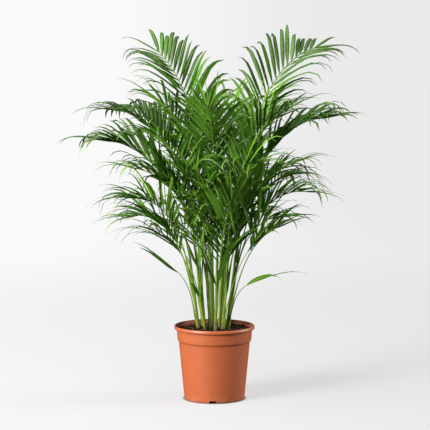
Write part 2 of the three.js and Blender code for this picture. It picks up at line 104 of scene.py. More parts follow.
# For each kind of frond: its pairs of leaflets, the share of its stalk that is bare, a leaflet's length and
# half its width, the stalk's radius, how far leaflets spread from the stalk at its foot and tip, how far they
# rise, droop, fold, curl and turn level, and how much steeper those between two pairs may stand.
KIND_WORDS = (
    "pairs", "bare", "leaflet", "blade", "stalk", "spread", "raise", "droop", "fold", "curl", "level", "bush"
)
KINDS = {
    "crown": (10, 0.44, 190, 6.2, 2.9, (44, 30), 30, 56, 10, 50, 1, 8),
    "heart": (10, 0.4, 190, 6.2, 2.8, (40, 28), 34, 60, 15, 50, 1, 24),
    "inner": (6, 0.34, 185, 6.4, 2.6, (38, 28), 30, 50, 20, 45, 1, 24),
    "side": (8, 0.46, 175, 5.4, 2.6, (48, 32), 32, 80, 20, 30, 1, 18),
    "low": (4, 0.58, 170, 5.2, 2.3, (46, 32), 28, 90, 20, 30, 1, 14),
    "young": (1, 0.86, 225, 9.5, 2.1, (20, 20), 10, 70, 52, 30, 0.3, 0),
    "broad": (1, 0.8, 190, 11.5, 2.4, (10, 10), 12, 40, 12, 120, 0, 0),
    "sprout": (1, 0.7, 62, 5.5, 1.8, (30, 30), 10, 40, 30, 20, 0, 0),
}
KINDS = {name: dict(zip(KIND_WORDS, values)) for name, values in KINDS.items()}

# The foot's x and y, the way the stem leans, how much, and its height above the soil.
STEMS = (
    (-47, 8, 178, 7, 215), (-34, 34, 150, 6, 225), (-28, -4, 200, 5, 205), (-13, 8, 190, 3, 235),
    (-8, 34, 110, 4, 240), (3, -18, 300, 3, 225), (15, 12, 30, 2, 245), (24, -10, 330, 5, 215),
    (37, 10, 5, 7, 225), (43, 34, 40, 7, 215), (-4, 56, 95, 7, 220), (22, 50, 70, 6, 225),
)

# Kind, stem, how far up it, the way the frond leads, its lean, its bend, its length and its roll.
FROND_WORDS = ("kind", "stem", "from", "azimuth", "lean", "bend", "length", "roll")
FRONDS = (
    ("crown", 4, 1, 128, 6, 56, 675, 20),
    ("crown", 8, 1, 44, 5, 76, 765, -20),
    ("crown", 9, 1, 10, 9, 76, 540, 0),
    ("crown", 1, 1, 148, 9, 80, 560, 0),
    ("crown", 0, 1, 186, 11, 74, 460, 0),
    ("heart", 10, 1, 96, 8, 74, 560, 0),
    ("heart", 5, 1, 262, 6, 52, 500, 0),
    ("heart", 3, 1, 228, 5, 54, 500, 0),
    ("heart", 7, 1, 322, 6, 60, 520, 0),
    ("side", 11, 1, 54, 7, 84, 570, 0),
    ("side", 2, 1, 222, 4, 64, 450, 0),
    ("side", 0, 0.8, 200, 12, 80, 330, 0),
    ("side", 0, 0.65, 165, 13, 86, 310, 0),
    ("side", 8, 0.8, 8, 14, 84, 350, 0),
    ("side", 9, 0.8, 40, 13, 80, 400, 0),
    ("side", 10, 0.8, 116, 14, 80, 440, 0),
    ("side", 6, 0.8, 296, 10, 74, 420, 0),
    ("inner", 6, 1, 80, 4, 44, 450, 0),
    ("inner", 3, 0.6, 250, 6, 30, 360, 0),
    ("inner", 5, 0.5, 300, 6, 30, 330, 0),
    ("inner", 6, 0.7, 20, 5, 34, 420, 0),
    ("inner", 2, 0.8, 200, 7, 36, 340, 0),
    ("inner", 7, 0.7, 340, 8, 36, 340, 0),
    ("inner", 4, 0.8, 120, 6, 34, 400, 0),
    ("inner", 11, 0.7, 60, 8, 36, 380, 0),
    ("low", 8, 0.65, 345, 9, 79, 280, 0),
    ("low", 9, 0.5, 20, 16, 53, 264, 0),
    ("low", 1, 0.5, 155, 18, 60, 250, 0),
    ("broad", 2, 0.6, 245, 5, 12, 90, 0),
    ("low", 11, 0.6, 60, 18, 66, 300, 0),
    ("broad", 5, 0.42, 285, 5, 12, 80, 0),
    ("low", 10, 0.5, 130, 16, 60, 270, 0),
    ("young", 0, 0.35, 186, 9, 46, 150, 0),
    ("young", 2, 0.5, 190, 13, 39, 270, 0),
    ("young", 8, 0.3, 322, 16, 54, 130, 0),
    ("young", 7, 0.4, 340, 14, 24, 210, 0),
    ("young", 10, 0.4, 100, 16, 34, 220, 0),
    ("sprout", 2, 0.4, 235, 10, 20, 60, 0),
    ("inner", 2, 0.75, 268, 5, 30, 300, 0),
    ("inner", 7, 0.6, 285, 5, 32, 300, 0),
    ("side", 3, 0.85, 192, 14, 66, 380, 0),
    ("side", 7, 0.85, 350, 12, 62, 400, 0),
)
FRONDS = [dict(zip(FROND_WORDS, values)) for values in FRONDS]

# Turns and extra bends that keep the solids clear of each other. Which one a piece took is read off it.
WAYS = [(0, 0)]
for step in (5, 10, 16, 24):
    WAYS += [(step, 0), (-step, 0), (0, step), (0, -step), (step, step), (-step, step)]
# How near a leaflet's tip, and a corner of a stalk, come to the solid's own in the right way.
FOUND = 0.02
FOUND_STALK = 0.2

UNDER_RIM = POT["height"] - POT["rim_height"]
UNDER_COLLAR = UNDER_RIM - POT["collar_height"]
FLOOR_TOP = POT["floor_height"] + POT["wall"]
SOIL_TOP = POT["height"] - SOIL_DEPTH
# The middle of the pot's wall, as a slope and a radius in metres: of the tapering wall, and up in the rim.
WALL_MIDDLE = (0.075, 0.0957)
RIM_MIDDLE = (0.6, -0.0148)
# Where the floor's near look gives way to the backdrop's, and the bowl that both are, in metres.
BACKDROP = (0.5, 4)
BOWL = {"radius": 9.5, "height": 7, "bend": 2.5}
# Each light's place and the side of its panel, and the height that they all face, in metres.
LIGHTS = {"key": ((-6.0, -5.1, 3.05), 3.0), "top": ((-0.9, -0.5, 3.4), 2.4), "fill": ((7.2, 0.6, 2.3), 3.2)}
LIT_HEIGHT = 0.55


# ---- Settings ----


def colour_of(name, value):
    """A colour setting."""
    words = f"{name}, as linear red, green and blue"
    return FloatVectorProperty(name=name, description=words, subtype="COLOR", min=0.0, max=1.0, default=value)


def number_of(name, description, value, unit="NONE"):
    """A number from 0 up."""
    return FloatProperty(name=name, description=description, unit=unit, min=0.0, default=value)


def length_of(name, description, value):
    """A length in metres."""
    return number_of(name, description, value, "LENGTH")


def angle_of(name, description, degrees):
    """An angle, given in degrees."""
    return FloatProperty(name=name, description=description, subtype="ANGLE", default=math.radians(degrees))


class PalmPotSettings(bpy.types.PropertyGroup):
    colour: colour_of("Moulded colour", (0.48, 0.115, 0.039))
    faded: colour_of("Faded colour", (0.54, 0.155, 0.055))
    cloud: colour_of("Clouding", (0.42, 0.09, 0.024))
    dust: colour_of("Soil dust on the rim", (0.12, 0.06, 0.035))
    # A dark soil stain inside the wall, which is also laid on as painted shade.
    stain_and_shade: colour_of("Stain inside the wall", (0.085, 0.02, 0.006))
    scuffed: colour_of("Scuffs at the foot", (0.66, 0.33, 0.2))
    roughness: FloatProperty(
        name="Roughness", description="How dull the moulded surface is", min=0.0, max=1.0, default=0.42
    )
    sides: IntProperty(name="Sides", description="Steps round the pot's wall", min=24, max=360, default=144)


class PalmSoilSettings(bpy.types.PropertyGroup):
    damp: colour_of("Damp soil", (0.010, 0.005, 0.0018))
    clods: colour_of("Clods", (0.034, 0.017, 0.008))
    dry: colour_of("Dry soil", (0.13, 0.07, 0.028))
    bark: colour_of("Bark chips", (0.22, 0.12, 0.055))
    rings: IntProperty(name="Rings", description="Rings of the soil's lumpy top", min=4, max=90, default=30)
    crumbs: IntProperty(name="Crumbs", description="Loose crumbs and bark chips on top", min=0, default=900)
    crumb_size: length_of("Crumb size", "Radius of a large crumb", 0.0042)


class PalmCaneSettings(bpy.types.PropertyGroup):
    foot: colour_of("Colour at the foot", (0.17, 0.26, 0.013))
    top: colour_of("Colour at the top", (0.065, 0.18, 0.004))
    scar: colour_of("Leaf scars", (0.13, 0.085, 0.03))
    husk: colour_of("Husk at the foot", (0.085, 0.07, 0.014))
    blotch: colour_of("Blotches", (0.15, 0.16, 0.02))
    soiled: colour_of("Soil on the foot", (0.05, 0.03, 0.018))
    sheath: length_of("Sheath length", "How far a stalk's sheath runs down its cane", 0.085)


class PalmLeafSettings(bpy.types.PropertyGroup):
    # The darkest tone of the leaflets, which is also laid on as painted shade.
    shade: colour_of("Dark leaflets", (0.004, 0.035, 0.0003))
    green: colour_of("Leaflets", (0.036, 0.19, 0.001))
    fresh: colour_of("Fresh leaflets", (0.21, 0.48, 0.03))
    # A paler, greyer green that is painted over the outer leaflets as a sheen.
    outer: colour_of("Outer leaflets", (0.3, 0.5, 0.16))
    underside: colour_of("Undersides", (0.08, 0.225, 0.016))
    stalk: colour_of("Stalks", (0.14, 0.27, 0.01))
    dry: colour_of("Dry tips", (0.22, 0.13, 0.045))
    fold: angle_of("Fold", "How far each half of a leaflet slopes down from its midrib", 40)
    thickness: length_of("Thickness", "Thickness of a leaflet at its midrib", 0.0009)


class PalmStudioSettings(bpy.types.PropertyGroup):
    distance: length_of("Camera distance", "From the pot's axis to the camera", 5.0)
    height: length_of("Camera height", "Above the floor", 1.03)
    aside: length_of("Camera aside", "How far right of the pot's axis the camera stands", 0.0018)
    pitch: angle_of("Camera pitch", "How far the camera looks down", 5.5)
    lens: number_of("Lens", "Focal length in millimetres on a 36 mm sensor", 142.2, "CAMERA")
    key: number_of("Key light", "Power of the light at the left in watts", 472.0, "POWER")
    top: number_of("Top light", "Power of the light overhead in watts", 26.0, "POWER")
    fill: number_of("Fill light", "Power of the light at the right in watts", 190.0, "POWER")
    beam: angle_of("Beam", "How wide each light's beam is", 110)
    ceiling: number_of("Room light", "Strength of the light from above all round", 0.15)
    ground: number_of("Low light", "Strength of the light from below all round", 0.08)
    glow: number_of("Backdrop light", "Strength of the light on the far backdrop", 0.885)
    near_glow: number_of("Floor light", "Strength of the light on the near floor", 0.625)
    floor: colour_of("Floor", (0.178, 0.178, 0.178))


SETTINGS = {
    "palm_pot": PalmPotSettings,
    "palm_soil": PalmSoilSettings,
    "palm_cane": PalmCaneSettings,
    "palm_leaf": PalmLeafSettings,
    "palm_studio": PalmStudioSettings,
}

# ---- Lines ----


def lerp(low, high, share):
    """The value that share of the way from low to high."""
    return low + (high - low) * share


def heading(azimuth, lean):
    """The direction that leans from upright towards an azimuth, both in degrees."""
    turn, tilt = math.radians(azimuth), math.radians(lean)
    return np.array([math.sin(tilt) * math.cos(turn), math.sin(tilt) * math.sin(turn), math.cos(tilt)])


def unit(vectors):
    """Vectors scaled to a length of 1."""
    return vectors / np.linalg.norm(vectors, axis=-1, keepdims=True)


def uneven(seed):
    """A number between -2 and 2 that looks random and is the same at every run."""
    return 2 * math.fmod(math.sin(seed * 12.9898) * 43758.5453, 1)


class Line:
    """A smooth line through evenly spaced points."""

    def __init__(self, points):
        points = np.asarray(points, float)
        before, after = 2 * points[0] - points[1], 2 * points[-1] - points[-2]
        self.points = np.vstack([before, points, after])
        self.spans = len(points) - 1

    def at(self, share):
        """The points at shares of the line's length."""
        place = np.clip(np.asarray(share, float), 0, 1) * self.spans
        span = np.minimum(place.astype(int), self.spans - 1)
        t = (place - span)[..., None]
        a, b, c, d = (self.points[span + k] for k in range(4))
        start, end = (c - a) / 2, (d - b) / 2
        return b + t * start + t**2 * (3 * c - 3 * b - 2 * start - end) + t**3 * (2 * b - 2 * c + start + end)

    def along(self, share):
        """The line's directions at shares of its length."""
        share = np.asarray(share, float)
        return unit(self.at(share + 1e-4) - self.at(share - 1e-4))


def bending_line(root, azimuth, lean, bend, length, late, steps=10, curl=0):
    """The line of a stalk or leaflet that leaves root and bends over, mostly towards its tip."""
    points = [np.asarray(root, float)]
    for step in range(steps):
        share = (step + 0.5) / steps
        limp = max(0, (share - LEAFLET["curl_from"]) / (1 - LEAFLET["curl_from"]))
        tilt = min(lean + bend * share**late + curl * limp, MOST_LEAN)
        points.append(points[-1] + heading(azimuth, tilt) * length / steps)
    return Line(points)


def stem_line(x, y, azimuth, lean, height):
    """A cane's line, from its buried foot up."""
    foot = np.array([x, y, SOIL_TOP]) - heading(azimuth, lean) * STEM["buried"]
    length = STEM["buried"] + height / math.cos(math.radians(lean))
    return bending_line(foot, azimuth, lean, 0, length, 1, 1), length


def stem_radius(share):
    """A cane's radius at a share of its length."""
    return lerp(STEM["radius"], STEM["top_radius"], share)


def foot_on(line, up, azimuth, lean, radius):
    """Where a stalk starts: on top of its cane, or against its side."""
    foot, upwards = line.at(up), line.along(up)
    if up == 1:
        sweep = radius * math.sin(math.acos(min(1.0, float(heading(azimuth, lean) @ upwards))))
        return foot + upwards * (sweep + GAP + REST)
    return foot + heading(azimuth, 90) * (stem_radius(up) + radius + GAP + REST)


class Stalk:
    """A frond's stalk, grown one way."""

    def __init__(self, frond, way):
        kind = KINDS[frond["kind"]]
        self.kind, self.frond = kind, frond
        self.azimuth = frond["azimuth"] + way[0]
        self.foot = foot_on(frond["line"], frond["from"], self.azimuth, frond["lean"], kind["stalk"])
        self.line = bending_line(
            self.foot, self.azimuth, frond["lean"], frond["bend"] + way[1], frond["length"], STALK["late"]
        )
        self.across = heading(self.azimuth - 90, 90)

    def radius(self, share):
        """The stalk's radius at a share of its length."""
        return lerp(self.kind["stalk"], self.kind["stalk"] * STALK["tip_share"], share)

    def corners(self):
        """The corners of the solid's first and last rings, of three each."""
        found = []
        for share in (0.0, 1.0):
            ridge = np.cross(self.across, self.line.along(share))
            for x, z in ((0, 1), (math.sqrt(0.75), -0.5), (-math.sqrt(0.75), -0.5)):
                found.append(self.line.at(share) + (self.across * x + ridge * z) * self.radius(share))
        return found

    def seat(self, pair):
        """Where a pair of leaflets sits. Whole numbers are the solid's pairs, and halves lie between two."""
        segments = STALK["bare_segments"] + max(1, self.kind["pairs"] / 2)
        shares = lerp(self.kind["bare"], 1, np.arange(math.floor(segments) - 1) / (segments - 2))
        rings = self.line.at(shares)
        place = (pair + 0.5) / 2
        ring = min(math.floor(place), len(rings) - 2)
        return lerp(rings[ring], rings[ring + 1], place - ring)


def leaflet_line(stalk, pair, side, way, steeper=0):
    """A leaflet's line, the level across it, and how its width turns from that."""
    frond, kind = stalk.frond, stalk.kind
    share = (pair + 0.5) / kind["pairs"]
    last = pair == kind["pairs"] - 1
    t = lerp(kind["bare"], 1, share)
    seed = frond["seed"] + pair * 2 + side
    along = stalk.line.along(t)
    upper = np.cross(stalk.across, along)
    spread = TERMINAL["spread"] + TERMINAL["apart"] * side if last else lerp(*kind["spread"], share)
    spread = math.radians(spread)
    raised = math.radians(lerp(kind["raise"], kind["raise"] / 2, share) + side * frond["roll"] + steeper)
    outwards = stalk.across * side * math.cos(raised) + upper * math.sin(raised)
    leads = along * math.cos(spread) + outwards * math.sin(spread)
    steepness = min(math.tan(raised), 2) - math.tan(math.radians(SUNK["flush_raise"]))
    root = stalk.seat(pair) - upper * stalk.radius(t) * (SUNK["share"] + SUNK["per_raise"] * steepness)
    levelness = 1 - leads[2] ** 2
    fullness = TERMINAL["share"] if last else math.sin(math.pi * lerp(*LEAFLET["fullness"], share))
    azimuth = math.degrees(math.atan2(leads[1], leads[0])) + way[0]
    length = kind["leaflet"] * fullness * (1 + UNEVEN["length"] * uneven(seed))
    limpness = (TERMINAL["droop"] if last else 1) * (1 + UNEVEN["droop"] * uneven(seed + 0.5))
    droop = kind["droop"] * (LEAFLET["least_droop"] + levelness) * limpness + way[1]
    lean = math.degrees(math.acos(leads[2]))
    line = bending_line(root, azimuth, lean, droop, length, LEAFLET["late"], curl=kind["curl"] * limpness)
    level = heading(azimuth - 90, 90)
    ridge = np.cross(level, line.along(0.0))
    inline = math.atan2(-side * along @ ridge, -side * along @ level)
    twist = inline - side * math.radians(kind["fold"]) + math.radians(UNEVEN["twist"]) * uneven(seed + 0.25)
    twist = (twist + math.pi / 2) % math.pi - math.pi / 2
    levelled = kind["level"] * smooth((levelness - LEVELLING["from"]) / (LEVELLING["to"] - LEVELLING["from"]))
    return line, level, (twist, levelled)


def smooth(share):
    """A share that starts and ends gently."""
    share = min(max(share, 0), 1)
    return share * share * (3 - 2 * share)


def twist_at(twist, share):
    """How far a leaflet is turned at a share of its length: it levels itself along its first half."""
    start, levelled = twist
    return start * (1 - levelled * np.clip(share / LEVELLING["by"], 0, 1))


# ---- Reading the ways off the solids ----


def corners_of(node):
    """A search tree of a solid's corners, in millimetres about the pot's axis."""
    places = [np.array(v.co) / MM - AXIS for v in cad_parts[node].data.vertices]
    tree = KDTree(len(places))
    for i, place in enumerate(places):
        tree.insert(place, i)
    tree.balance()
    return tree


def settled_stalk(frond, tree):
    """The stalk that the frond's solid has."""
    stalks = [Stalk(frond, way) for way in WAYS]
    misses = [np.mean([tree.find(corner)[2] for corner in stalk.corners()]) for stalk in stalks]
    best = misses.index(min(misses))
    if misses[best] > FOUND_STALK:
        raise RuntimeError(f"no way fits the stalk of {frond['name']}: {misses[best]:.2f} mm")
    return stalks[best]


def settled_way(stalk, pair, side, tree):
    """The way that a leaflet of the solid grows, or None where the solid has none there."""
    for way in WAYS:
        line = leaflet_line(stalk, pair, side, way)[0]
        if tree.find(line.points[-2])[2] < FOUND:
            return way
    return None


# ---- Meshes ----

# The names of each corner's own values.
TONE, RISE = "tone", "rise"
# A face turned further than this from a leaflet's upper side is on its underside.
UNDER_FROM = 1.6


def add_layers(mesh):
    """A mesh's own values: its map, the tone of each leaflet and how far up each point is."""
    return (
        mesh.loops.layers.uv.new("map"),
        mesh.verts.layers.float.new(TONE),
        mesh.verts.layers.float.new(RISE),
    )


def template(sides, rings, under=False):
    """An upright rod with its map. With under, the faces of its underside take the second material."""
    mesh = bmesh.new()
    bmesh.ops.create_cone(mesh, cap_ends=True, segments=sides, radius1=1, radius2=1, depth=1)
    long_edges = [e for e in mesh.edges if abs(e.verts[0].co.z - e.verts[1].co.z) > 0.5]
    bmesh.ops.subdivide_edges(mesh, edges=long_edges, cuts=rings - 1)
    bmesh.ops.translate(mesh, verts=mesh.verts, vec=(0, 0, 0.5))
    bmesh.ops.recalc_face_normals(mesh, faces=mesh.faces)
    uv, _, _ = add_layers(mesh)
    for face in mesh.faces:
        face.smooth = True
        middle = face.calc_center_median()
        turn = math.atan2(middle.x, middle.y)
        face.material_index = 1 if under and abs(turn) > UNDER_FROM else 0
        for loop in face.loops:
            corner = loop.vert.co
            across = math.atan2(corner.x, corner.y) / math.tau
            if abs(across * math.tau - turn) > math.pi:
                across += math.copysign(1, turn)
            loop[uv].uv = (corner.z, (corner.x + 1) / 2 if under else across)
    made = bpy.data.meshes.new("template")
    mesh.to_mesh(made)
    mesh.free()
    return made, np.array([v.co for v in made.vertices])


class Sheet:
    """A mesh that is put together from bent copies of templates."""

    def __init__(self):
        self.mesh = bmesh.new()
        add_layers(self.mesh)
        self.places, self.tones, self.rises, self.slots = [], [], [], []

    def add(self, made, places, tone, rise, slot=0):
        """Adds a copy of a template whose corners go to places."""
        first = len(self.mesh.faces)
        self.mesh.from_mesh(made)
        self.places.append(places)
        self.tones.append(np.broadcast_to(tone, len(places)))
        self.rises.append(np.broadcast_to(rise, len(places)))
        if slot:
            self.slots.append((first, len(self.mesh.faces), slot))

    def finish(self, name, materials, sharp=50):
        """The finished object, with its place in its mesh."""
        tone, rise = self.mesh.verts.layers.float[TONE], self.mesh.verts.layers.float[RISE]
        places = (np.vstack(self.places) + AXIS) * MM
        tones, rises = np.concatenate(self.tones), np.concatenate(self.rises)
        for vert, place, t, r in zip(self.mesh.verts, places.tolist(), tones.tolist(), rises.tolist()):
            vert.co = place
            vert[tone] = t
            vert[rise] = r
        self.mesh.faces.ensure_lookup_table()
        for first, end, slot in self.slots:
            for i in range(first, end):
                self.mesh.faces[i].material_index += slot
        return object_of(self.mesh, name, materials, sharp)


def object_of(mesh, name, materials, sharp=40):
    """An object from a bmesh, smooth but for edges sharper than an angle in degrees."""
    data = bpy.data.meshes.new(name)
    mesh.normal_update()
    mesh.to_mesh(data)
    mesh.free()
    for material in materials:
        data.materials.append(material)
    data.shade_smooth()
    data.set_sharp_from_angle(angle=math.radians(sharp))
    made = bpy.data.objects.new(name, data)
    bpy.context.scene.collection.objects.link(made)
    return made


def rings_of(line, shares, level, twist, x, z):
    """Points x to the side of a line and z above it, the side turned out of the level by an angle."""
    along = line.along(shares)
    beside = np.broadcast_to(level, along.shape)
    twist = np.broadcast_to(twist, np.shape(shares))[:, None]
    across = beside * np.cos(twist) - np.cross(along, beside) * np.sin(twist)
    ridge = np.cross(across, along)
    return line.at(shares) + across * np.asarray(x)[:, None] + ridge * np.asarray(z)[:, None]


def turns_and_shares(rod):
    """The angle round the rod of each of its corners, and how far up it each one is."""
    x, z, share = rod[1].T
    return np.arctan2(x, z), share


def bent_rod(rod, line, level, radius, tone, rise, name, material):
    """An object that is one rod bent along a line, with a radius for each corner."""
    x, z, share = rod[1].T
    sheet = Sheet()
    sheet.add(rod[0], rings_of(line, share, level, 0.0, x * radius, z * radius), tone, rise)
    return sheet.finish(name, [material])


# ---- Leaflets, stalks and canes ----

CANE_SIDES, CANE_RINGS = 14, 84
SPEAR_SIDES, SPEAR_RINGS = 10, 40
BLADE_SIDES = 6
BLADE_STATIONS = (0, 0.05, 0.14, 0.27, 0.42, 0.58, 0.73, 0.87, 1)
HEEL_RINGS, STALK_RINGS, STALK_SIDES = 8, 26, 10
# Along a leaflet: where it is fully open, and its width at the tip. Across it: how far out the crease lies
# and how low, how deep the halves fold and how much that varies, how they flatten and thin, and their waves.
# At its foot: its least width, and its width as a share of the stalk's.
BLADE = {
    "open_by": 0.4, "tip": 0.02, "crease": 0.52, "crease_drop": 0.42, "fold": (0.75, 0.35), "flattens": 0.6,
    "thins": 0.75, "wave": 0.05, "waves": 17, "least_neck": 0.4, "neck_share": 0.25,
}
# The heel: how its sheath's length varies, how far it stands off its cane, how it swells over its stalk, how
# it leaves the cane and narrows, and where its rise starts. Then how a stalk slims, and how flat its top is.
HEEL = {"sheath": (0.8, 0.3), "off_cane": 0.75, "swell": 1.12, "leaves": 1.6, "narrows": 1.3, "start": -0.4}
STALK_SHAPE = {"slim": 0.92, "slims_over": 5, "top": 0.86}

# Each kind's leaflets: their breadth against its solids', how far out they stay broad, how light they are and
# how much that varies.
LOOK_WORDS = ("breadth", "strap", "tone", "varies")
LOOKS = {
    "crown": (1.14, 5, 0.04, 0.24),
    "heart": (0.72, 4, 0.62, 0.8),
    "inner": (0.74, 3.5, 0.9, 0.6),
    "side": (0.88, 3, 0.95, 0.36),
    "low": (0.95, 3, 1.0, 0.36),
    "young": (0.6, 3, 0.3, 0.2),
    "broad": (0.85, 3, 0.5, 0.1),
    "sprout": (1.0, 3, 0.2, 0.3),
}
LOOKS = {name: dict(zip(LOOK_WORDS, values)) for name, values in LOOKS.items()}
# How much the tone varies from frond to frond.
FROND_VARIES = 0.12


def blade_width(share, neck, strap):
    """Half a leaflet's width, as a share of its widest, at shares of its length."""
    opening = 1 - (1 - np.minimum(share / BLADE["open_by"], 1)) ** 2 * (1 - neck)
    return opening * (1 - share**strap) + BLADE["tip"]


def blade_places(corners, line, level, twist, form, neck, settings, seed):
    """A leaflet's corners: two halves that slope down from a midrib, thin, and drawn out to a point."""
    share = np.interp(corners[:, 2], np.linspace(0, 1, len(BLADE_STATIONS)), BLADE_STATIONS)
    half_width, strap = form
    width = half_width * blade_width(share, neck / half_width, strap)
    side = np.sign(np.where(np.abs(corners[:, 0]) < 0.1, 0, corners[:, 0]))
    upper = corners[:, 1] > 0
    out = np.where(side == 0, 0, np.where(upper, BLADE["crease"], 1.0))
    edge = out == 1.0
    deep, varies = BLADE["fold"]
    slope = math.tan(settings.fold) * (deep + varies * uneven(seed + 0.7)) * (1 - BLADE["flattens"] * share)
    drop = np.where(edge, 1.0, BLADE["crease_drop"] * (out > 0)) * slope * width
    thick = settings.thickness / MM * 0.5 * (1 - BLADE["thins"] * share)
    z = -drop + np.where(side == 0, np.where(upper, thick, -thick), np.where(edge, 0, thick * 0.5))
    wave = BLADE["wave"] * half_width * np.sin(share * BLADE["waves"] + seed) * edge
    return rings_of(line, share, level, twist_at(twist, share), side * out * width, z + wave), share


def frond_sheet(stalk, tree, settings, templates):
    """A frond: its stalk, a heel that clasps the cane, and twice the solid's leaflets."""
    blade, blade_corners = templates["blade"]
    frond, kind = stalk.frond, stalk.kind
    sheet = Sheet()
    add_stalk(sheet, stalk, templates["stalk"])
    look = LOOKS[frond["kind"]]
    form = kind["blade"] * look["breadth"], look["strap"]
    pairs = kind["pairs"]
    ways = {(pair, side): settled_way(stalk, pair, side, tree) for pair in range(pairs) for side in (-1, 1)}
    lowest = -1 if pairs > 1 else 0
    for half in range(lowest, 2 * pairs - 1):
        pair = half / 2
        for side in (-1, 1):
            near = [ways.get((place, side)) or (0, 0) for place in (math.floor(pair), math.ceil(pair))]
            way = np.mean(near, axis=0)
            seed = frond["seed"] + pair * 2 + side
            steeper = kind["bush"] * (0.5 + uneven(seed + 0.4)) if half % 2 else 0
            line, level, twist = leaflet_line(stalk, pair, side, way, steeper)
            share = (pair + 0.5) / pairs
            neck = max(BLADE["least_neck"], stalk.radius(lerp(kind["bare"], 1, share)) * BLADE["neck_share"])
            places, along = blade_places(blade_corners, line, level, twist, form, neck, settings, seed)
            tone = frond["tone"] + look["varies"] * uneven(seed + 0.9)
            sheet.add(blade, places, tone, along)
    return sheet


def add_stalk(sheet, stalk, made):
    """Adds the stalk, with a heel that runs down its cane as a sheath."""
    rod, corners = made
    frond = stalk.frond
    rings = HEEL_RINGS + STALK_RINGS
    ring = np.rint(corners[:, 2] * rings).astype(int)
    cane, up = frond["line"], frond["from"]
    least, varies = HEEL["sheath"]
    sheath = bpy.context.scene.palm_cane.sheath / MM * (least + varies * uneven(frond["seed"] + 0.3))
    reach = stalk.foot - cane.at(up)
    foot, top = stem_radius(up) + HEEL["off_cane"], stalk.kind["stalk"] * HEEL["swell"]
    centres, widths, rises = [], [], []
    for i in range(HEEL_RINGS):
        share = i / HEEL_RINGS
        away = smooth(share)
        on_cane = cane.at(up - sheath * (1 - share) / frond["cane_length"])
        centres.append(on_cane + reach * away ** HEEL["leaves"])
        widths.append(lerp(foot, top, away ** HEEL["narrows"]))
        rises.append(HEEL["start"] * (1 - share))
    for i in range(STALK_RINGS + 1):
        share = i / STALK_RINGS
        centres.append(stalk.line.at(share))
        slimmer = lerp(HEEL["swell"], STALK_SHAPE["slim"], min(1, share * STALK_SHAPE["slims_over"]))
        widths.append(stalk.radius(share) * slimmer)
        rises.append(share)
    centres = np.array(centres)
    along = unit(np.gradient(centres, axis=0))
    across = np.broadcast_to(stalk.across, along.shape)
    ridge = unit(np.cross(across, along))
    widths, rises = np.array(widths), np.array(rises)
    x, y = corners[:, 0], corners[:, 1]
    flat = np.where(y > 0, STALK_SHAPE["top"], 1.0)
    beside = across[ring] * (x * widths[ring])[:, None]
    above = ridge[ring] * (y * flat * widths[ring])[:, None]
    sheet.add(rod, centres[ring] + beside + above, frond["tone"], rises[ring], slot=2)


# ---- Materials ----


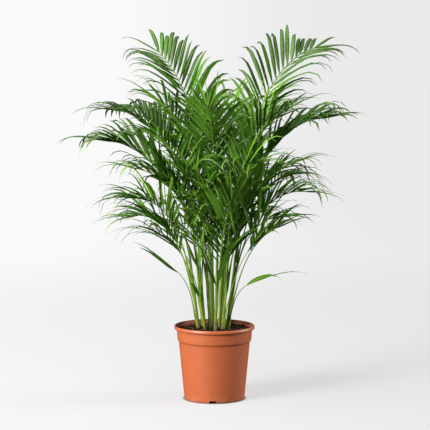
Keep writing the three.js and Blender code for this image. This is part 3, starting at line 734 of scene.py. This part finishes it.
class Paint:
    """Builds a material's nodes."""

    def __init__(self, name, **uniform):
        self.material = bpy.data.materials.new(name)
        self.material.use_nodes = True
        self.tree = self.material.node_tree
        self.shader = self.tree.nodes["Principled BSDF"]
        for socket, value in uniform.items():
            self.shader.inputs[socket.replace("_", " ")].default_value = value

    def node(self, kind, inputs=(), **settings):
        """A new node, with its inputs set to values or joined to other nodes' outputs."""
        made = self.tree.nodes.new(kind)
        for key, value in settings.items():
            setattr(made, key, value)
        for key, value in dict(inputs).items():
            self.join(made.inputs[key], value)
        return made

    def join(self, socket, value):
        """Sets a socket, or joins an output to it."""
        if isinstance(value, bpy.types.NodeSocket):
            self.tree.links.new(value, socket)
        else:
            socket.default_value = value

    def maths(self, operation, a, b=0.0, c=0.0, clamp=False):
        """One sum."""
        made = self.node("ShaderNodeMath", {0: a, 1: b, 2: c}, operation=operation, use_clamp=clamp)
        return made.outputs[0]

    def times(self, a, b):
        """Two values multiplied."""
        return self.maths("MULTIPLY", a, b)

    def spread(self, value, low, high, to_low=0.0, to_high=1.0):
        """A value's stretch from low to high, mapped smoothly onto another."""
        inputs = {0: value, 1: low, 2: high, 3: to_low, 4: to_high}
        return self.node("ShaderNodeMapRange", inputs, interpolation_type="SMOOTHSTEP").outputs[0]

    def mix(self, share, a, b):
        """Two colours mixed."""
        made = self.node("ShaderNodeMix", data_type="RGBA")
        self.join(made.inputs[0], share)
        for socket, one in ((6, a), (7, b)):
            self.join(made.inputs[socket], one if isinstance(one, bpy.types.NodeSocket) else (*one, 1))
        return made.outputs[2]

    def lay(self, under, over, value, low, high, to_low=0.0, to_high=1.0):
        """A colour laid over another, by as much as a value's stretch says."""
        return self.mix(self.spread(value, low, high, to_low, to_high), under, over)

    def places(self):
        """Where a point is on the object."""
        return self.node("ShaderNodeTexCoord").outputs["Object"]

    def split(self, vector):
        """The parts of a vector."""
        return self.node("ShaderNodeSeparateXYZ", {0: vector}).outputs

    def map(self):
        """How far a point is along and across its leaflet, stalk or cane."""
        return self.split(self.node("ShaderNodeUVMap", uv_map="map").outputs[0])

    def value(self, name):
        """One of the mesh's own values."""
        return self.node("ShaderNodeAttribute", attribute_name=name).outputs["Fac"]

    def grain(self, scale, detail=3.0, roughness=0.55, stretch=None, at=None):
        """Noise, from 0 to 1."""
        at = at or self.places()
        if stretch:
            at = self.node("ShaderNodeMapping", {"Vector": at, "Scale": stretch}).outputs[0]
        inputs = {"Vector": at, "Scale": scale, "Detail": detail, "Roughness": roughness}
        return self.node("ShaderNodeTexNoise", inputs).outputs[0]

    def streaks(self, rise, length, width, depth=0.0):
        """Noise drawn out along a cane or stalk."""
        at = {0: self.times(rise, length), 1: self.times(self.map()[1], width), 2: depth}
        return self.grain(1, 4, 0.6, at=self.node("ShaderNodeCombineXYZ", at).outputs[0])

    def from_axis(self, flat=(1, 1, 0)):
        """How far a point is from the pot's upright axis."""
        out = self.places()
        for operation, by in (("SUBTRACT", AXIS * MM), ("MULTIPLY", flat)):
            out = self.node("ShaderNodeVectorMath", {0: out, 1: by}, operation=operation).outputs[0]
        return self.node("ShaderNodeVectorMath", {0: out}, operation="LENGTH").outputs["Value"]

    def finish(self, colour, roughness, height=None, strength=0.3, depth=0.0005):
        """Joins colour, roughness and bump to the shader."""
        self.join(self.shader.inputs["Base Color"], colour)
        self.join(self.shader.inputs["Roughness"], roughness)
        if height is not None:
            bump = self.node("ShaderNodeBump", {"Height": height, "Strength": strength, "Distance": depth})
            self.join(self.shader.inputs["Normal"], bump.outputs[0])
        return self.material


def leaflet_paint(settings, underside):
    """A leaflet's surface, with its midrib, fine veins along it and now and then a dry tip, and with painted
    shade and a painted sheen.
    """
    paint = Paint(
        "leaflet_underside" if underside else "leaflet", Subsurface_Weight=0.1, Subsurface_Scale=0.002,
        Specular_IOR_Level=0.8,
    )
    paint.shader.inputs["Subsurface Radius"].default_value = (0.5, 1.0, 0.1)
    paint.shader.inputs["Specular Tint"].default_value = (0.78, 1.0, 0.48, 1)
    along, across = paint.map()[:2]
    uneven_tone = paint.times(paint.maths("SUBTRACT", paint.grain(9, detail=2), 0.5), 0.6)
    level = paint.maths("ADD", paint.value(TONE), uneven_tone)
    colour = paint.lay(settings.shade, settings.green, level, 0.15, 0.6)
    colour = paint.lay(colour, settings.fresh, level, 0.55, 1.0)
    # Painted shade: the feet of the leaflets and the growth in the plant's heart, near its axis, are darkened
    # with the dark leaflets' colour, where shade falls.
    colour = paint.lay(colour, settings.shade, along, 0.1, 0.6, 0.6, 0)
    colour = paint.lay(colour, settings.shade, paint.from_axis(), 0.03, 0.19, 0.72, 0)
    if underside:
        colour = paint.mix(0.55, colour, settings.underside)
    # Painted sheen: leaflets far from the axis are laid over with a paler, greyer green.
    colour = paint.lay(colour, settings.outer, paint.from_axis(), 0.16, 0.42, 0, 0.34)
    veins = paint.maths("SINE", paint.times(across, 90))
    colour = paint.lay(colour, settings.fresh, veins, -0.2, 1, 0, 0.16)
    aside = paint.maths("ABSOLUTE", paint.maths("SUBTRACT", across, 0.5))
    # Painted shade: each leaflet is darkened towards its edges.
    colour = paint.lay(colour, settings.shade, aside, 0.25, 0.5, 0, 0.75)
    rib = paint.spread(aside, 0.015, 0.055, 1, 0)
    colour = paint.mix(paint.times(rib, 0.5), colour, settings.stalk)
    colour = paint.lay(colour, settings.stalk, along, 0, 0.09, 0.6, 0)
    dry = paint.times(paint.spread(along, 0.94, 1), paint.spread(level, 0.72, 0.8))
    colour = paint.mix(dry, colour, settings.dry)
    gloss, dull = (0.42, 0.56) if underside else (0.25, 0.38)
    roughness = paint.spread(paint.grain(40), 0.3, 0.7, gloss, dull)
    height = paint.maths("ADD", paint.times(veins, 0.4), paint.times(rib, 1.5))
    return paint.finish(colour, roughness, height, 0.25, 0.0003)


def stalk_paint(settings, cane):
    """A stalk's surface, yellow-green at its foot and greener towards its tip, with streaks and scurf."""
    paint = Paint("frond_stalk", Subsurface_Weight=0.08, Subsurface_Scale=0.002)
    rise = paint.value(RISE)
    streaks = paint.streaks(rise, 6, 26)
    colour = paint.lay(cane.foot, settings.stalk, rise, -0.3, 0.5)
    colour = paint.lay(colour, settings.green, rise, 0.4, 1, 0, 0.6)
    colour = paint.lay(colour, cane.top, streaks, 0.45, 0.75, 0, 0.45)
    scurf = paint.spread(paint.grain(900, 2, 0.7), 0.62, 0.7)
    colour = paint.mix(paint.times(scurf, paint.spread(rise, 0, 0.35, 0.7, 0)), colour, cane.scar)
    # The sheath's edge, where it ends on the cane.
    colour = paint.lay(colour, cane.scar, rise, HEEL["start"], -0.35, 0.8, 0)
    return paint.finish(colour, paint.spread(streaks, 0.2, 0.8, 0.34, 0.5), streaks, 0.2, 0.0004)


def cane_paint(cane):
    """A cane's surface: ringed by the scars of fallen leaves, streaked along, browner at its foot."""
    paint = Paint("cane", Subsurface_Weight=0.06, Subsurface_Scale=0.002)
    rise = paint.value(RISE)
    streaks = paint.streaks(rise, 9, 22, paint.places())
    colour = paint.lay(cane.foot, cane.top, rise, 0.25, 1)
    colour = paint.lay(colour, cane.top, streaks, 0.42, 0.72, 0, 0.6)
    colour = paint.lay(colour, cane.blotch, paint.grain(45, 3, 0.6), 0.56, 0.7, 0, 0.5)
    colour = paint.lay(colour, cane.scar, paint.value(TONE), 0.3, 0.9, 0, 0.6)
    husk = paint.times(paint.spread(rise, 0.2, 0.42, 0.85, 0), paint.spread(streaks, 0.3, 0.6, 0.4, 1))
    colour = paint.mix(husk, colour, cane.husk)
    soiled = paint.times(paint.spread(rise, 0.17, 0.24, 1, 0), paint.spread(paint.grain(300), 0.35, 0.6))
    colour = paint.mix(soiled, colour, cane.soiled)
    return paint.finish(colour, paint.spread(streaks, 0.2, 0.8, 0.36, 0.55), streaks, 0.25, 0.0005)


def pot_paint(settings):
    """Moulded terracotta-coloured plastic: mottled, paler where it is scuffed, and darkened inside the wall
    by a soil stain and painted shade.
    """
    paint = Paint("pot_plastic", Subsurface_Weight=0.05, Subsurface_Scale=0.003, Specular_IOR_Level=0.6)
    colour = paint.lay(settings.colour, settings.faded, paint.grain(7, 4, 0.6), 0.3, 0.75, 0, 0.5)
    cloud = paint.grain(2.2, 2, 0.5, stretch=(1, 1, 0.4))
    colour = paint.lay(colour, settings.cloud, cloud, 0.35, 0.7, 0, 0.35)
    height = paint.split(paint.places())[2]
    dust = paint.times(paint.spread(height, 0.2, 0.219), paint.spread(paint.grain(160, 4, 0.7), 0.5, 0.66))
    colour = paint.mix(paint.times(dust, 0.35), colour, settings.dust)
    # Inside the wall is what lies nearer the axis than the wall's middle, which widens faster up in the rim.
    wall, rim = (paint.maths("MULTIPLY_ADD", height, *middle) for middle in (WALL_MIDDLE, RIM_MIDDLE))
    beyond = paint.maths("SUBTRACT", paint.from_axis(), paint.maths("MAXIMUM", wall, rim))
    inner = paint.times(paint.spread(beyond, -0.0004, 0.0004, 1, 0), paint.spread(height, 0.185, 0.2))
    # Painted shade: the inside of the wall above the soil is darkened, partly as a soil stain and partly as
    # the shade that falls inside the pot.
    stain_and_shade = paint.times(inner, paint.spread(paint.grain(50, 4), 0.25, 0.6, 0.5, 0.85))
    colour = paint.mix(stain_and_shade, colour, settings.stain_and_shade)
    scuffed = paint.times(paint.spread(height, 0.03, 0.0), paint.spread(paint.grain(60, 4, 0.7), 0.45, 0.65))
    colour = paint.mix(paint.times(scuffed, 0.3), colour, settings.scuffed)
    scuffs = paint.grain(30, 5, 0.7, stretch=(1, 1, 6))
    rough = paint.spread(scuffs, 0.35, 0.7, settings.roughness - 0.06, settings.roughness + 0.1)
    rough = paint.maths("MULTIPLY_ADD", inner, 0.45, rough, clamp=True)
    return paint.finish(colour, rough, paint.grain(1400, 2, 0.5), 0.12, 0.0003)


def soil_paint(settings):
    """Dark, damp potting soil with paler dry grains."""
    paint = Paint("potting_soil", Specular_IOR_Level=0.15)
    clods, grains = paint.grain(60, 5, 0.65), paint.grain(420, 4, 0.7)
    colour = paint.lay(settings.damp, settings.clods, clods, 0.35, 0.75)
    colour = paint.lay(colour, settings.dry, grains, 0.52, 0.72, 0, 0.8)
    colour = paint.lay(colour, settings.bark, paint.value(TONE), 0.55, 1, 0, 0.85)
    return paint.finish(colour, paint.spread(clods, 0.3, 0.7, 0.75, 0.98), grains, 0.9, 0.0015)


def floor_paint(settings):
    """A pale, matt studio floor, which gives off light of its own and far off takes little from the lamps."""
    paint = Paint("studio_floor", Specular_IOR_Level=0.0)
    paint.shader.inputs["Emission Color"].default_value = (1, 1, 1, 1)
    paler, darker = ([value * share for value in settings.floor] for share in (1.04, 0.1))
    colour = paint.lay(settings.floor, paler, paint.grain(0.6, 3), 0.3, 0.7, 0, 0.5)
    far = paint.from_axis((1, 1, 1))
    colour = paint.lay(colour, darker, far, *BACKDROP)
    # Under the pot's foot it stays dark.
    near = paint.spread(far, (POT["foot_radius"] - 1) * MM, 0.1, 0, settings.near_glow)
    glow = paint.maths("ADD", near, paint.spread(far, *BACKDROP, 0, settings.glow - settings.near_glow))
    # The backdrop is a little brighter at the left than at the right.
    glow = paint.times(glow, paint.spread(paint.split(paint.places())[0], -1.1, 1.1, 1.07, 0.92))
    paint.join(paint.shader.inputs["Emission Strength"], glow)
    return paint.finish(colour, paint.spread(paint.grain(3), 0.3, 0.7, 0.6, 0.75))


# ---- Operators ----


def dress(made, slot, *nodes):
    """Makes a piece ride with the plant and stand for its solids."""
    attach(made, "root")
    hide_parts(*nodes)
    return made


def spin_profile(profile, steps):
    """A body or bowl from an outline of radius and height that starts on the axis."""
    mesh = bmesh.new()
    verts = [mesh.verts.new((r, 0, z)) for r, z in profile]
    edges = [mesh.edges.new(pair) for pair in zip(verts, verts[1:])]
    bmesh.ops.spin(mesh, geom=verts + edges, axis=(0, 0, 1), angle=math.tau, steps=steps, use_merge=True)
    bmesh.ops.remove_doubles(mesh, verts=mesh.verts, dist=1e-4)
    bmesh.ops.recalc_face_normals(mesh, faces=mesh.faces)
    return mesh


def wall_radius(z):
    """The radius of the pot's outer wall at a height under its collar."""
    return lerp(POT["foot_radius"] + POT["foot_step"], POT["body_radius"], z / UNDER_COLLAR)


def rounded(profile, corners):
    """An outline whose corners are rounded off, those that have a radius in corners."""
    points = []
    for i, point in enumerate(profile):
        radius = corners.get(i)
        if not radius:
            points.append(point)
            continue
        here, before, after = (np.array(profile[k], float) for k in (i, i - 1, i + 1))
        start = here + unit(before - here) * min(radius, np.linalg.norm(before - here) * 0.45)
        end = here + unit(after - here) * min(radius, np.linalg.norm(after - here) * 0.45)
        for t in (0, 0.25, 0.5, 0.75, 1):
            points.append(tuple((1 - t) ** 2 * start + 2 * t * (1 - t) * here + t * t * end))
    return points


class OBJECT_OT_palm_pot(bpy.types.Operator):
    """Moulds the pot, with its rolled rim, collar, drain notches and drain holes"""

    bl_idname = "object.palm_pot"
    bl_label = "Pot"

    def execute(self, context):
        settings = context.scene.palm_pot
        wall, rim, collar, body = POT["wall"], POT["rim_radius"], POT["collar_radius"], POT["body_radius"]
        inside, foot, top = POT["foot_radius"] - POT["foot_width"], POT["foot_radius"], POT["height"]
        profile = [
            (0, POT["floor_height"]), (inside - 2, POT["floor_height"]), (inside, POT["floor_height"] - 2),
            (inside, 0), (foot, 0), (wall_radius(5), 5), (wall_radius(UNDER_COLLAR - 12), UNDER_COLLAR - 12),
            (body, UNDER_COLLAR), (collar - 2, UNDER_COLLAR + 4), (collar - 0.8, UNDER_RIM - 14),
            (collar, UNDER_RIM), (rim - 1.5, UNDER_RIM + 1), (rim, UNDER_RIM + 5), (rim - 1, top - 2),
            (rim - 2.4, top), (rim - 4.2, top - 0.6), (collar - wall + 1, top - 10),
            (collar - wall - 2, UNDER_COLLAR + 3), (body - wall, UNDER_COLLAR - 3),
            (wall_radius(FLOOR_TOP) - wall, FLOOR_TOP), (0, FLOOR_TOP),
        ]
        corner_radii = {
            2: 1.5, 4: 1.0, 5: 3, 7: 2, 8: 2.5, 10: 1.5, 11: 2, 12: 3, 13: 2, 14: 2, 15: 2, 16: 4, 19: 3,
        }
        mesh = spin_profile(rounded(profile, corner_radii), settings.sides)
        made = object_of(mesh, "palm_pot", [pot_paint(settings)], POT_SHARP)
        cutters = [self.notch(i) for i in range(NOTCH["count"])]
        cutters += [self.drain(i) for i in range(DRAIN["count"])]
        for cutter in cutters:
            cut = made.modifiers.new("cut", "BOOLEAN")
            cut.operation, cut.solver, cut.object = "DIFFERENCE", "EXACT", cutter
        evaluated = made.evaluated_get(context.evaluated_depsgraph_get())
        data = bpy.data.meshes.new_from_object(evaluated)
        made.modifiers.clear()
        made.data = data
        for cutter in cutters:
            bpy.data.objects.remove(cutter)
        data.transform(Matrix.Translation(Vector(AXIS * MM)) @ Matrix.Scale(MM, 4))
        data.shade_smooth()
        data.set_sharp_from_angle(angle=math.radians(POT_SHARP))
        dress(made, "pot", "pot")
        return {"FINISHED"}

    def notch(self, i):
        """A wedge that cuts one notch through the foot ring."""
        mesh = bmesh.new()
        bmesh.ops.create_cube(mesh, size=1)
        bmesh.ops.scale(mesh, verts=mesh.verts, vec=(NOTCH["width"], NOTCH["deep"], 2 * NOTCH["height"]))
        for vert in mesh.verts:
            if vert.co.z > 0:
                vert.co.x *= NOTCH["top_width"] / NOTCH["width"]
            else:
                vert.co.z = -1
        top = [e for e in mesh.edges if abs((e.verts[0].co - e.verts[1].co).y) > 1 and e.verts[0].co.z > 0]
        bmesh.ops.bevel(mesh, geom=top, offset=NOTCH["corner"], segments=3, profile=0.5, affect="EDGES")
        bmesh.ops.translate(mesh, verts=mesh.verts, vec=(0, -(POT["foot_radius"] - 2), 0))
        turn = math.radians(NOTCH["azimuth"] + 90 + i * 360 / NOTCH["count"])
        bmesh.ops.rotate(mesh, verts=mesh.verts, matrix=Matrix.Rotation(turn, 3, "Z"))
        return object_of(mesh, "cutter", [])

    def drain(self, i):
        """A plug that cuts one drain hole through the floor."""
        mesh = bmesh.new()
        size = {"radius1": DRAIN["radius"], "radius2": DRAIN["radius"], "depth": DRAIN["plug"]}
        bmesh.ops.create_cone(mesh, cap_ends=True, segments=24, **size)
        turn = (i + 0.5) * math.tau / DRAIN["count"]
        place = (DRAIN["circle"] * math.cos(turn), DRAIN["circle"] * math.sin(turn), POT["floor_height"])
        bmesh.ops.translate(mesh, verts=mesh.verts, vec=place)
        return object_of(mesh, "cutter", [])


class OBJECT_OT_palm_soil(bpy.types.Operator):
    """Fills the pot with lumpy potting soil, strewn with crumbs and bark chips"""

    bl_idname = "object.palm_soil"
    bl_label = "Soil"

    def execute(self, context):
        settings = context.scene.palm_soil
        clearance = POT["wall"] + GAP
        edge = POT["collar_radius"] - clearance - 2
        rings = [edge * (1 - i / settings.rings) for i in range(1, settings.rings)]
        profile = [
            (0, FLOOR_TOP + GAP), (wall_radius(FLOOR_TOP) - clearance - 1, FLOOR_TOP + GAP),
            (POT["body_radius"] - clearance - 1, UNDER_COLLAR - 4), (edge - 0.5, UNDER_COLLAR + 3),
            (edge, SOIL_TOP - 1.5), (edge - 1.2, SOIL_TOP),
            *[(r, SOIL_TOP) for r in rings], (0, SOIL_TOP),
        ]
        mesh = spin_profile(profile, settings.rings * 4)
        add_layers(mesh)
        for vert in mesh.verts:
            if vert.co.z > SOIL_TOP - 1:
                vert.co.z += self.lump(vert.co.x, vert.co.y)
        bmesh.ops.scale(mesh, verts=mesh.verts, vec=(MM, MM, MM))
        bmesh.ops.translate(mesh, verts=mesh.verts, vec=AXIS * MM)
        self.strew(mesh, settings, edge)
        made = object_of(mesh, "palm_soil", [soil_paint(settings)], sharp=60)
        dress(made, "soil", "soil")
        return {"FINISHED"}

    def lump(self, x, y):
        """How far the soil stands up at a place, in millimetres."""
        low = math.sin(x * 0.09 + 1) * math.cos(y * 0.11) + 0.6 * math.sin(x * 0.21 - y * 0.17)
        fine = noise.fractal(Vector((x * 0.11, y * 0.11, 2.0)), 0.8, 2.1, 4)
        return LUMPS["height"] * low + LUMPS["fine"] * fine

    def strew(self, mesh, settings, edge):
        """Crumbs and chips, half sunk in the soil."""
        draw = random.Random(CRUMB["seed"])
        tone = mesh.verts.layers.float[TONE]
        for _ in range(settings.crumbs):
            far, turn = edge * math.sqrt(draw.random()) * CRUMB["within"], draw.uniform(0, math.tau)
            x, y = far * math.cos(turn), far * math.sin(turn)
            size = settings.crumb_size / MM * draw.uniform(*CRUMB["sizes"]) ** 1.5
            verts = bmesh.ops.create_icosphere(mesh, subdivisions=1, radius=size)["verts"]
            for vert in verts:
                vert.co *= draw.uniform(*CRUMB["lumpy"])
            if draw.random() < CRUMB["chips"]:
                stretch = (draw.uniform(1.6, 2.6), 0.8, 0.35)
            else:
                stretch = (1, draw.uniform(0.7, 1.0), draw.uniform(0.6, 0.9))
            bmesh.ops.scale(mesh, verts=verts, vec=stretch)
            tilt = [draw.uniform(-CRUMB["tilt"], CRUMB["tilt"]) for _ in range(2)]
            turned = Euler((*tilt, draw.uniform(0, math.tau))).to_matrix()
            bmesh.ops.rotate(mesh, verts=verts, matrix=turned)
            place = (x, y, SOIL_TOP + self.lump(x, y) + size * CRUMB["proud"])
            shade = draw.random() ** 2
            for vert in verts:
                vert.co = (np.array(vert.co) + place + AXIS) * MM
                vert[tone] = shade


class OBJECT_OT_palm_canes(bpy.types.Operator):
    """Grows the canes, ringed by the scars of old leaves"""

    bl_idname = "object.palm_canes"
    bl_label = "Canes"

    def execute(self, context):
        paint = cane_paint(context.scene.palm_cane)
        rod = template(CANE_SIDES, CANE_RINGS)
        turn, share = turns_and_shares(rod)
        for i, spec in enumerate(STEMS):
            line, length = stem_line(*spec)
            draw = random.Random(SCAR["seed"] + i)
            scars, place = [], draw.uniform(*SCAR["first"])
            while place < length:
                scars.append(place)
                place += draw.uniform(*SCAR["apart"])
            near = np.min([np.abs(share * length - scar) for scar in scars], axis=0)
            ring = np.exp(-((near / SCAR["half_width"]) ** 2))
            radius = stem_radius(share) * (1 + WAVY["by"] * np.sin(share * WAVY["waves"] + i))
            radius += SCAR["height"] * ring
            above_soil = share * length - STEM["buried"]
            radius += SWELLING["radius"] * np.exp(-(above_soil / SWELLING["height"]) ** 2)
            radius *= 1 + WAVY["by"] * np.sin(turn * WAVY["lobes"] + i)
            level = unit(np.cross(line.along(0.0), UP))
            cane = bent_rod(rod, line, level, radius, ring, share, f"palm_cane_{i + 1:02d}", paint)
            dress(cane, "stem", f"stem_{i + 1:02d}")
        bpy.data.meshes.remove(rod[0])
        return {"FINISHED"}


class OBJECT_OT_palm_fronds(bpy.types.Operator):
    """Grows the fronds, each with its sheath, stalk and leaflets"""

    bl_idname = "object.palm_fronds"
    bl_label = "Fronds"

    def execute(self, context):
        settings, cane = context.scene.palm_leaf, context.scene.palm_cane
        paints = [leaflet_paint(settings, underside) for underside in (False, True)]
        paints.append(stalk_paint(settings, cane))
        templates = {
            "blade": template(BLADE_SIDES, len(BLADE_STATIONS) - 1, under=True),
            "stalk": template(STALK_SIDES, HEEL_RINGS + STALK_RINGS),
        }
        for i, frond in enumerate(FRONDS):
            node = f"frond_{i + 1:02d}"
            line, length = stem_line(*STEMS[frond["stem"]])
            frond.update(name=node, seed=100 * i, line=line, cane_length=length)
            frond["tone"] = LOOKS[frond["kind"]]["tone"] + FROND_VARIES * uneven(i + 0.1)
            tree = corners_of(node)
            stalk = settled_stalk(frond, tree)
            made = frond_sheet(stalk, tree, settings, templates).finish(f"palm_{node}", paints, sharp=55)
            dress(made, "foliage", node)
        for made, _ in templates.values():
            bpy.data.meshes.remove(made)
        return {"FINISHED"}


class OBJECT_OT_palm_spear(bpy.types.Operator):
    """Grows the spear, the leaf that has yet to open"""

    bl_idname = "object.palm_spear"
    bl_label = "Spear"

    def execute(self, context):
        settings, cane = context.scene.palm_leaf, context.scene.palm_cane
        line, _ = stem_line(*STEMS[SPEAR["stem"]])
        tree = corners_of("spear")
        grown = []
        for azimuth_by, bend in WAYS:
            azimuth = SPEAR["azimuth"] + azimuth_by
            foot = foot_on(line, SPEAR["from"], azimuth, SPEAR["lean"], SPEAR["radius"])
            spear = bending_line(foot, azimuth, SPEAR["lean"], bend, SPEAR["length"], 1)
            grown.append((tree.find(spear.points[-2])[2], spear, azimuth))
        _, spear, azimuth = min(grown, key=lambda one: one[0])
        rod = template(SPEAR_SIDES, SPEAR_RINGS)
        turn, share = turns_and_shares(rod)
        ribs = 1 + RIBS["depth"] * np.sin(turn * RIBS["count"] + share * RIBS["wind"])
        point = np.minimum(1, (1 - share) / POINT["over"] + POINT["tip"])
        radius = SPEAR["radius"] * (1 - SPEAR["slims"] * share) * point * ribs
        level, paint = heading(azimuth - 90, 90), stalk_paint(settings, cane)
        piece = bent_rod(rod, spear, level, radius, 0.8, share * 0.7, "palm_spear", paint)
        bpy.data.meshes.remove(rod[0])
        dress(piece, "foliage", "spear")
        return {"FINISHED"}


class SCENE_OT_palm_studio(bpy.types.Operator):
    """Sets up the pale floor, the soft lights and the camera"""

    bl_idname = "scene.palm_studio"
    bl_label = "Studio"

    def execute(self, context):
        settings = context.scene.palm_studio
        corner = [(0, 0), (BOWL["radius"], 0), (BOWL["radius"], BOWL["height"])]
        mesh = spin_profile(rounded(corner, {1: BOWL["bend"]}), steps=96)
        bmesh.ops.reverse_faces(mesh, faces=mesh.faces)
        floor = object_of(mesh, "studio_floor", [floor_paint(settings)], sharp=60)
        # The room is bright only for the camera, so that the leaves keep their depth.
        floor.visible_diffuse = False
        floor.visible_glossy = False
        for name in LIGHTS:
            self.light(name, settings)
        context.scene.world = self.room(settings)
        self.camera(context.scene, settings)
        return {"FINISHED"}

    def light(self, name, settings):
        """A soft square light that faces the plant."""
        place, size = LIGHTS[name]
        data = bpy.data.lights.new(name, "AREA")
        data.shape, data.size, data.energy = "SQUARE", size, getattr(settings, name)
        # A narrower beam fades out on the floor instead of ending in a line.
        data.spread = settings.beam
        made = bpy.data.objects.new(name, data)
        bpy.context.scene.collection.objects.link(made)
        made.location = place
        made.rotation_euler = (Vector((0, 0, LIT_HEIGHT)) - Vector(place)).to_track_quat("-Z", "Y").to_euler()
        made.visible_camera = False

    def room(self, settings):
        """Soft light from all round, weaker from below."""
        world = bpy.data.worlds.new("studio_room")
        world.use_nodes = True
        nodes, links = world.node_tree.nodes, world.node_tree.links
        kinds = ("TexCoord", "SeparateXYZ", "MapRange")
        towards, split, rise = (nodes.new(f"ShaderNode{kind}") for kind in kinds)
        rise.interpolation_type = "SMOOTHSTEP"
        for socket, value in ((1, -0.6), (2, 0.6), (3, settings.ground), (4, settings.ceiling)):
            rise.inputs[socket].default_value = value
        links.new(towards.outputs["Generated"], split.inputs[0])
        links.new(split.outputs[2], rise.inputs[0])
        links.new(rise.outputs[0], nodes["Background"].inputs["Strength"])
        nodes["Background"].inputs["Color"].default_value = (1, 1, 1, 1)
        return world

    def camera(self, scene, settings):
        """A long lens a little above the plant's middle, looking slightly down."""
        data = bpy.data.cameras.new("camera")
        data.lens, data.sensor_width = settings.lens, 36
        made = bpy.data.objects.new("camera", data)
        scene.collection.objects.link(made)
        made.location = (AXIS[0] * MM + settings.aside, AXIS[1] * MM - settings.distance, settings.height)
        made.rotation_euler = (math.pi / 2 - settings.pitch, 0, 0)
        scene.camera = made
        scene.view_settings.view_transform = "Standard"


OPERATORS = (
    OBJECT_OT_palm_pot,
    OBJECT_OT_palm_soil,
    OBJECT_OT_palm_canes,
    OBJECT_OT_palm_fronds,
    OBJECT_OT_palm_spear,
    SCENE_OT_palm_studio,
)


class VIEW3D_PT_palm(bpy.types.Panel):
    """The palm's pieces and their settings"""

    bl_label = "Potted Palm"
    bl_idname = "VIEW3D_PT_palm"
    bl_space_type = "VIEW_3D"
    bl_region_type = "UI"
    bl_category = "Palm"

    def draw(self, context):
        for operator in OPERATORS:
            self.layout.operator(operator.bl_idname)
        for name, settings in SETTINGS.items():
            box = self.layout.box()
            for word in settings.__annotations__:
                box.prop(getattr(context.scene, name), word)


CLASSES = (*SETTINGS.values(), *OPERATORS, VIEW3D_PT_palm)


def register():
    for made in CLASSES:
        bpy.utils.register_class(made)
    for name, settings in SETTINGS.items():
        setattr(bpy.types.Scene, name, PointerProperty(type=settings))


def unregister():
    for name in SETTINGS:
        delattr(bpy.types.Scene, name)
    for made in reversed(CLASSES):
        bpy.utils.unregister_class(made)


def main():
    register()
    for operator in OPERATORS:
        group, name = operator.bl_idname.split(".")
        getattr(getattr(bpy.ops, group), name)()


if __name__ == "__main__":
    main()
